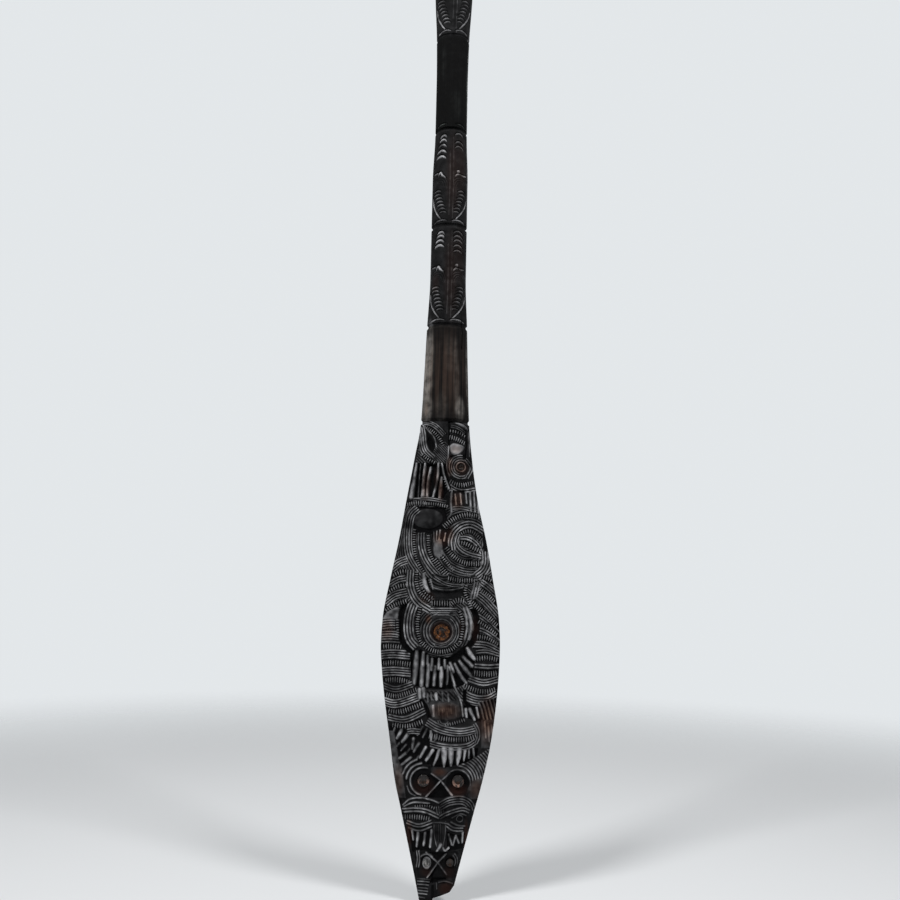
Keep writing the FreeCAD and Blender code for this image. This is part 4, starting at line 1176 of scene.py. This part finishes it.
place_bars = add(notch_tree, "GeometryNodeInstanceOnPoints",
                 {"Points": keep_along.outputs["Geometry"], "Instance": bar.outputs["Mesh"],
                  "Rotation": turned.outputs["Rotation"], "Scale": bar_size.outputs["Vector"]})
realize = add(notch_tree, "GeometryNodeRealizeInstances", {"Geometry": place_bars.outputs["Instances"]})
smooth = add(notch_tree, "GeometryNodeSetShadeSmooth", {"Geometry": realize.outputs["Geometry"]})
stain = add(notch_tree, "GeometryNodeSetMaterial",
            {"Geometry": smooth.outputs["Geometry"], "Material": carved_timber})
add(notch_tree, "NodeGroupOutput", {"Geometry": stain.outputs["Geometry"]})
modifier = strip_lines.modifiers.new("notches", "NODES")
modifier.node_group = notch_tree
for name, size in bar_sizes.items():
    modifier[size_sockets[name].identifier] = size
bpy.context.view_layer.update()
barred_strips = strip_lines.evaluated_get(bpy.context.evaluated_depsgraph_get())
notch_mesh = bpy.data.meshes.new_from_object(barred_strips)
strip_lines.modifiers.remove(modifier)
bpy.data.objects.remove(strip_lines)
notch_bars = bpy.data.objects.new("notch_bars", notch_mesh)
bpy.context.scene.collection.objects.link(notch_bars)
# The bars' outward-facing tops get a paler stain, a painted highlight as well as wear.
bar_wear_and_highlight = 0.8
facing = np.empty(len(notch_mesh.vertices) * 3, np.float32)
notch_mesh.vertices.foreach_get("normal", facing)
outwards = np.empty(len(notch_mesh.vertices) * 3, np.float32)
notch_mesh.attributes["outward"].data.foreach_get("vector", outwards)
facing = np.sum(facing.reshape(-1, 3) * outwards.reshape(-1, 3), 1)
layer = notch_mesh.attributes.new("wear_and_highlight", "FLOAT", "POINT")
layer.data.foreach_set("value", bar_wear_and_highlight * np.clip(facing, 0, 1) ** 2)
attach(notch_bars, "root")
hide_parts("paddle_timber")


# Finishes. The stain is a thin black-brown coat, rubbed grey and shiny on the ridges, where a pale crest
# colour is also painted on as their highlight, and dull in the cuts, where the wood shows through in
# places.
bump_depth, timber_bumps, eye_bumps = 0.0002, 0.5, 0.4
timber_gloss, eye_gloss = 0.10, 0.5
patch_scale, grain_scale, fibre_scale = (110, 110, 110), (420, 420, 9), (1400, 1400, 60)
eye_grain_scale = (380, 240, 240)
bright_from = 0.6               # the wear at which the stain is at its smoothest


def noise(tree, scale, detail):
    place = add(tree, "ShaderNodeTexCoord")
    stretch = add(tree, "ShaderNodeMapping", {"Vector": place.outputs["Object"], "Scale": scale})
    node = add(tree, "ShaderNodeTexNoise",
               {"Vector": stretch.outputs["Vector"], "Scale": 1.0, "Detail": detail})
    return node.outputs["Fac"]


def spread(tree, value, low, high, to_low=0.0, to_high=1.0):
    node = add(tree, "ShaderNodeMapRange",
               {"Value": value, "From Min": low, "From Max": high, "To Min": to_low, "To Max": to_high})
    return node.outputs["Result"]


def multiply(tree, first, second):
    return add(tree, "ShaderNodeMath", {0: first, 1: second}, operation="MULTIPLY").outputs["Value"]


def blend(tree, factor, first, second):
    node = add(tree, "ShaderNodeMix", {"Factor": factor, "A": first, "B": second}, data_type="RGBA")
    return node.outputs["Result"]


def wood_surface(tree, colour, roughness, specular, bumps, bump_strength):
    bump = add(tree, "ShaderNodeBump", {"Strength": bump_strength, "Distance": bump_depth, "Height": bumps})
    surface = add(tree, "ShaderNodeBsdfPrincipled",
                  {"Base Color": colour, "Roughness": roughness, "Specular IOR Level": specular,
                   "Normal": bump.outputs["Normal"]})
    add(tree, "ShaderNodeOutputMaterial", {"Surface": surface.outputs[0]})


def timber_finish(material, shine, dull, top_colour, low_colour, brown_top, brown_low, streaks):
    """Stain that is thin and bright where it is rubbed, with a painted highlight in the same pale colour on
    the crests, black in the cuts, with brown wood in places.
    """
    tree = empty_tree(material)
    wear_and_highlight, brown = (add(tree, "ShaderNodeAttribute", attribute_name=name).outputs["Fac"]
                   for name in ("wear_and_highlight", "brown"))
    wear_and_highlight = multiply(tree, wear_and_highlight, spread(tree, noise(tree, patch_scale, 5), 0.32, 0.66, 0.25, 1.15))
    if streaks:
        long_grain = noise(tree, grain_scale, 4)
        brown = multiply(tree, brown, spread(tree, long_grain, 0.40, 0.62))
        wear_and_highlight = multiply(tree, wear_and_highlight, spread(tree, long_grain, 0.30, 0.62, 0.25, 1.3))
    tops = blend(tree, brown, top_colour, brown_top)
    lows = blend(tree, brown, low_colour, brown_low)
    wood_surface(tree, blend(tree, wear_and_highlight, lows, tops), spread(tree, wear_and_highlight, 0.0, bright_from, dull, shine),
                 timber_gloss, noise(tree, fibre_scale, 3), timber_bumps)


# Each top colour is the pale stain of the rubbed ridges and also their painted highlight.
timber_finish(carved_timber, 0.30, 0.85, (0.42, 0.42, 0.435, 1), (0.0022, 0.0022, 0.0026, 1),
              (0.32, 0.20, 0.145, 1), (0.020, 0.008, 0.006, 1), False)
timber_finish(neck_timber, 0.45, 0.85, (0.230, 0.215, 0.200, 1), (0.0028, 0.0025, 0.0026, 1),
              (0.22, 0.165, 0.130, 1), (0.044, 0.028, 0.022, 1), True)
timber_finish(grip_timber, 0.5, 0.9, (0.050, 0.056, 0.053, 1), (0.0012, 0.0012, 0.0013, 1),
              (0.020, 0.010, 0.007, 1), (0.008, 0.004, 0.003, 1), True)


# The eyes: rings and pegs of brown wood let into their sockets, worn and darkened with age, with painted
# shade of the brow over their upper parts.
def eye_finish(name, light, dark, roughness, lit_from, lit_to):
    """Wood in dark and light patches; the dark top is painted shade of the brow, and the light patches are
    partly a painted highlight low on the eye: no light patches above lit_from, all of them below lit_to.
    """
    material = bpy.data.materials.new(name)
    tree = empty_tree(material)
    grain = noise(tree, eye_grain_scale, 4)
    place = add(tree, "ShaderNodeTexCoord")
    heights = add(tree, "ShaderNodeSeparateXYZ", {0: place.outputs["Object"]})
    lit = spread(tree, heights.outputs["Z"], lit_from * mm, lit_to * mm)
    patches = multiply(tree, spread(tree, grain, 0.44, 0.64), lit)
    wood_surface(tree, blend(tree, patches, dark, light), roughness, eye_gloss, grain, eye_bumps)
    return material


dark_wood = (0.006, 0.0035, 0.0025, 1)
main_ring = eye_finish("main_eye_ring_wood", (0.22, 0.085, 0.026, 1), (0.022, 0.008, 0.004, 1), 0.32,
                       276, 268)
mask_ring = eye_finish("mask_eye_ring_wood", (0.42, 0.24, 0.18, 1), dark_wood, 0.32, 120, 112)
main_peg = eye_finish("main_eye_peg_wood", (0.13, 0.042, 0.010, 1), dark_wood, 0.36, 272, 263)
dark_peg = eye_finish("dark_eye_peg_wood", (0.030, 0.014, 0.008, 1), dark_wood, 0.36, 441, 436)
# The tip's left peg is pale grey as a painted highlight on its domed face.
pale_peg = eye_finish("pale_peg", (0.34, 0.33, 0.32, 1), (0.040, 0.039, 0.038, 1), 0.32, 46, 42)
for node_name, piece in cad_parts.items():
    if node_name == "paddle_timber":
        continue
    finish = mask_ring if node_name.endswith("_ring") else dark_peg
    if node_name.startswith("main_eye"):
        finish = main_ring if node_name.endswith("_ring") else main_peg
    if node_name == "tip_eye_left_pupil":
        finish = pale_peg
    piece.data.materials.clear()
    piece.data.materials.append(finish)
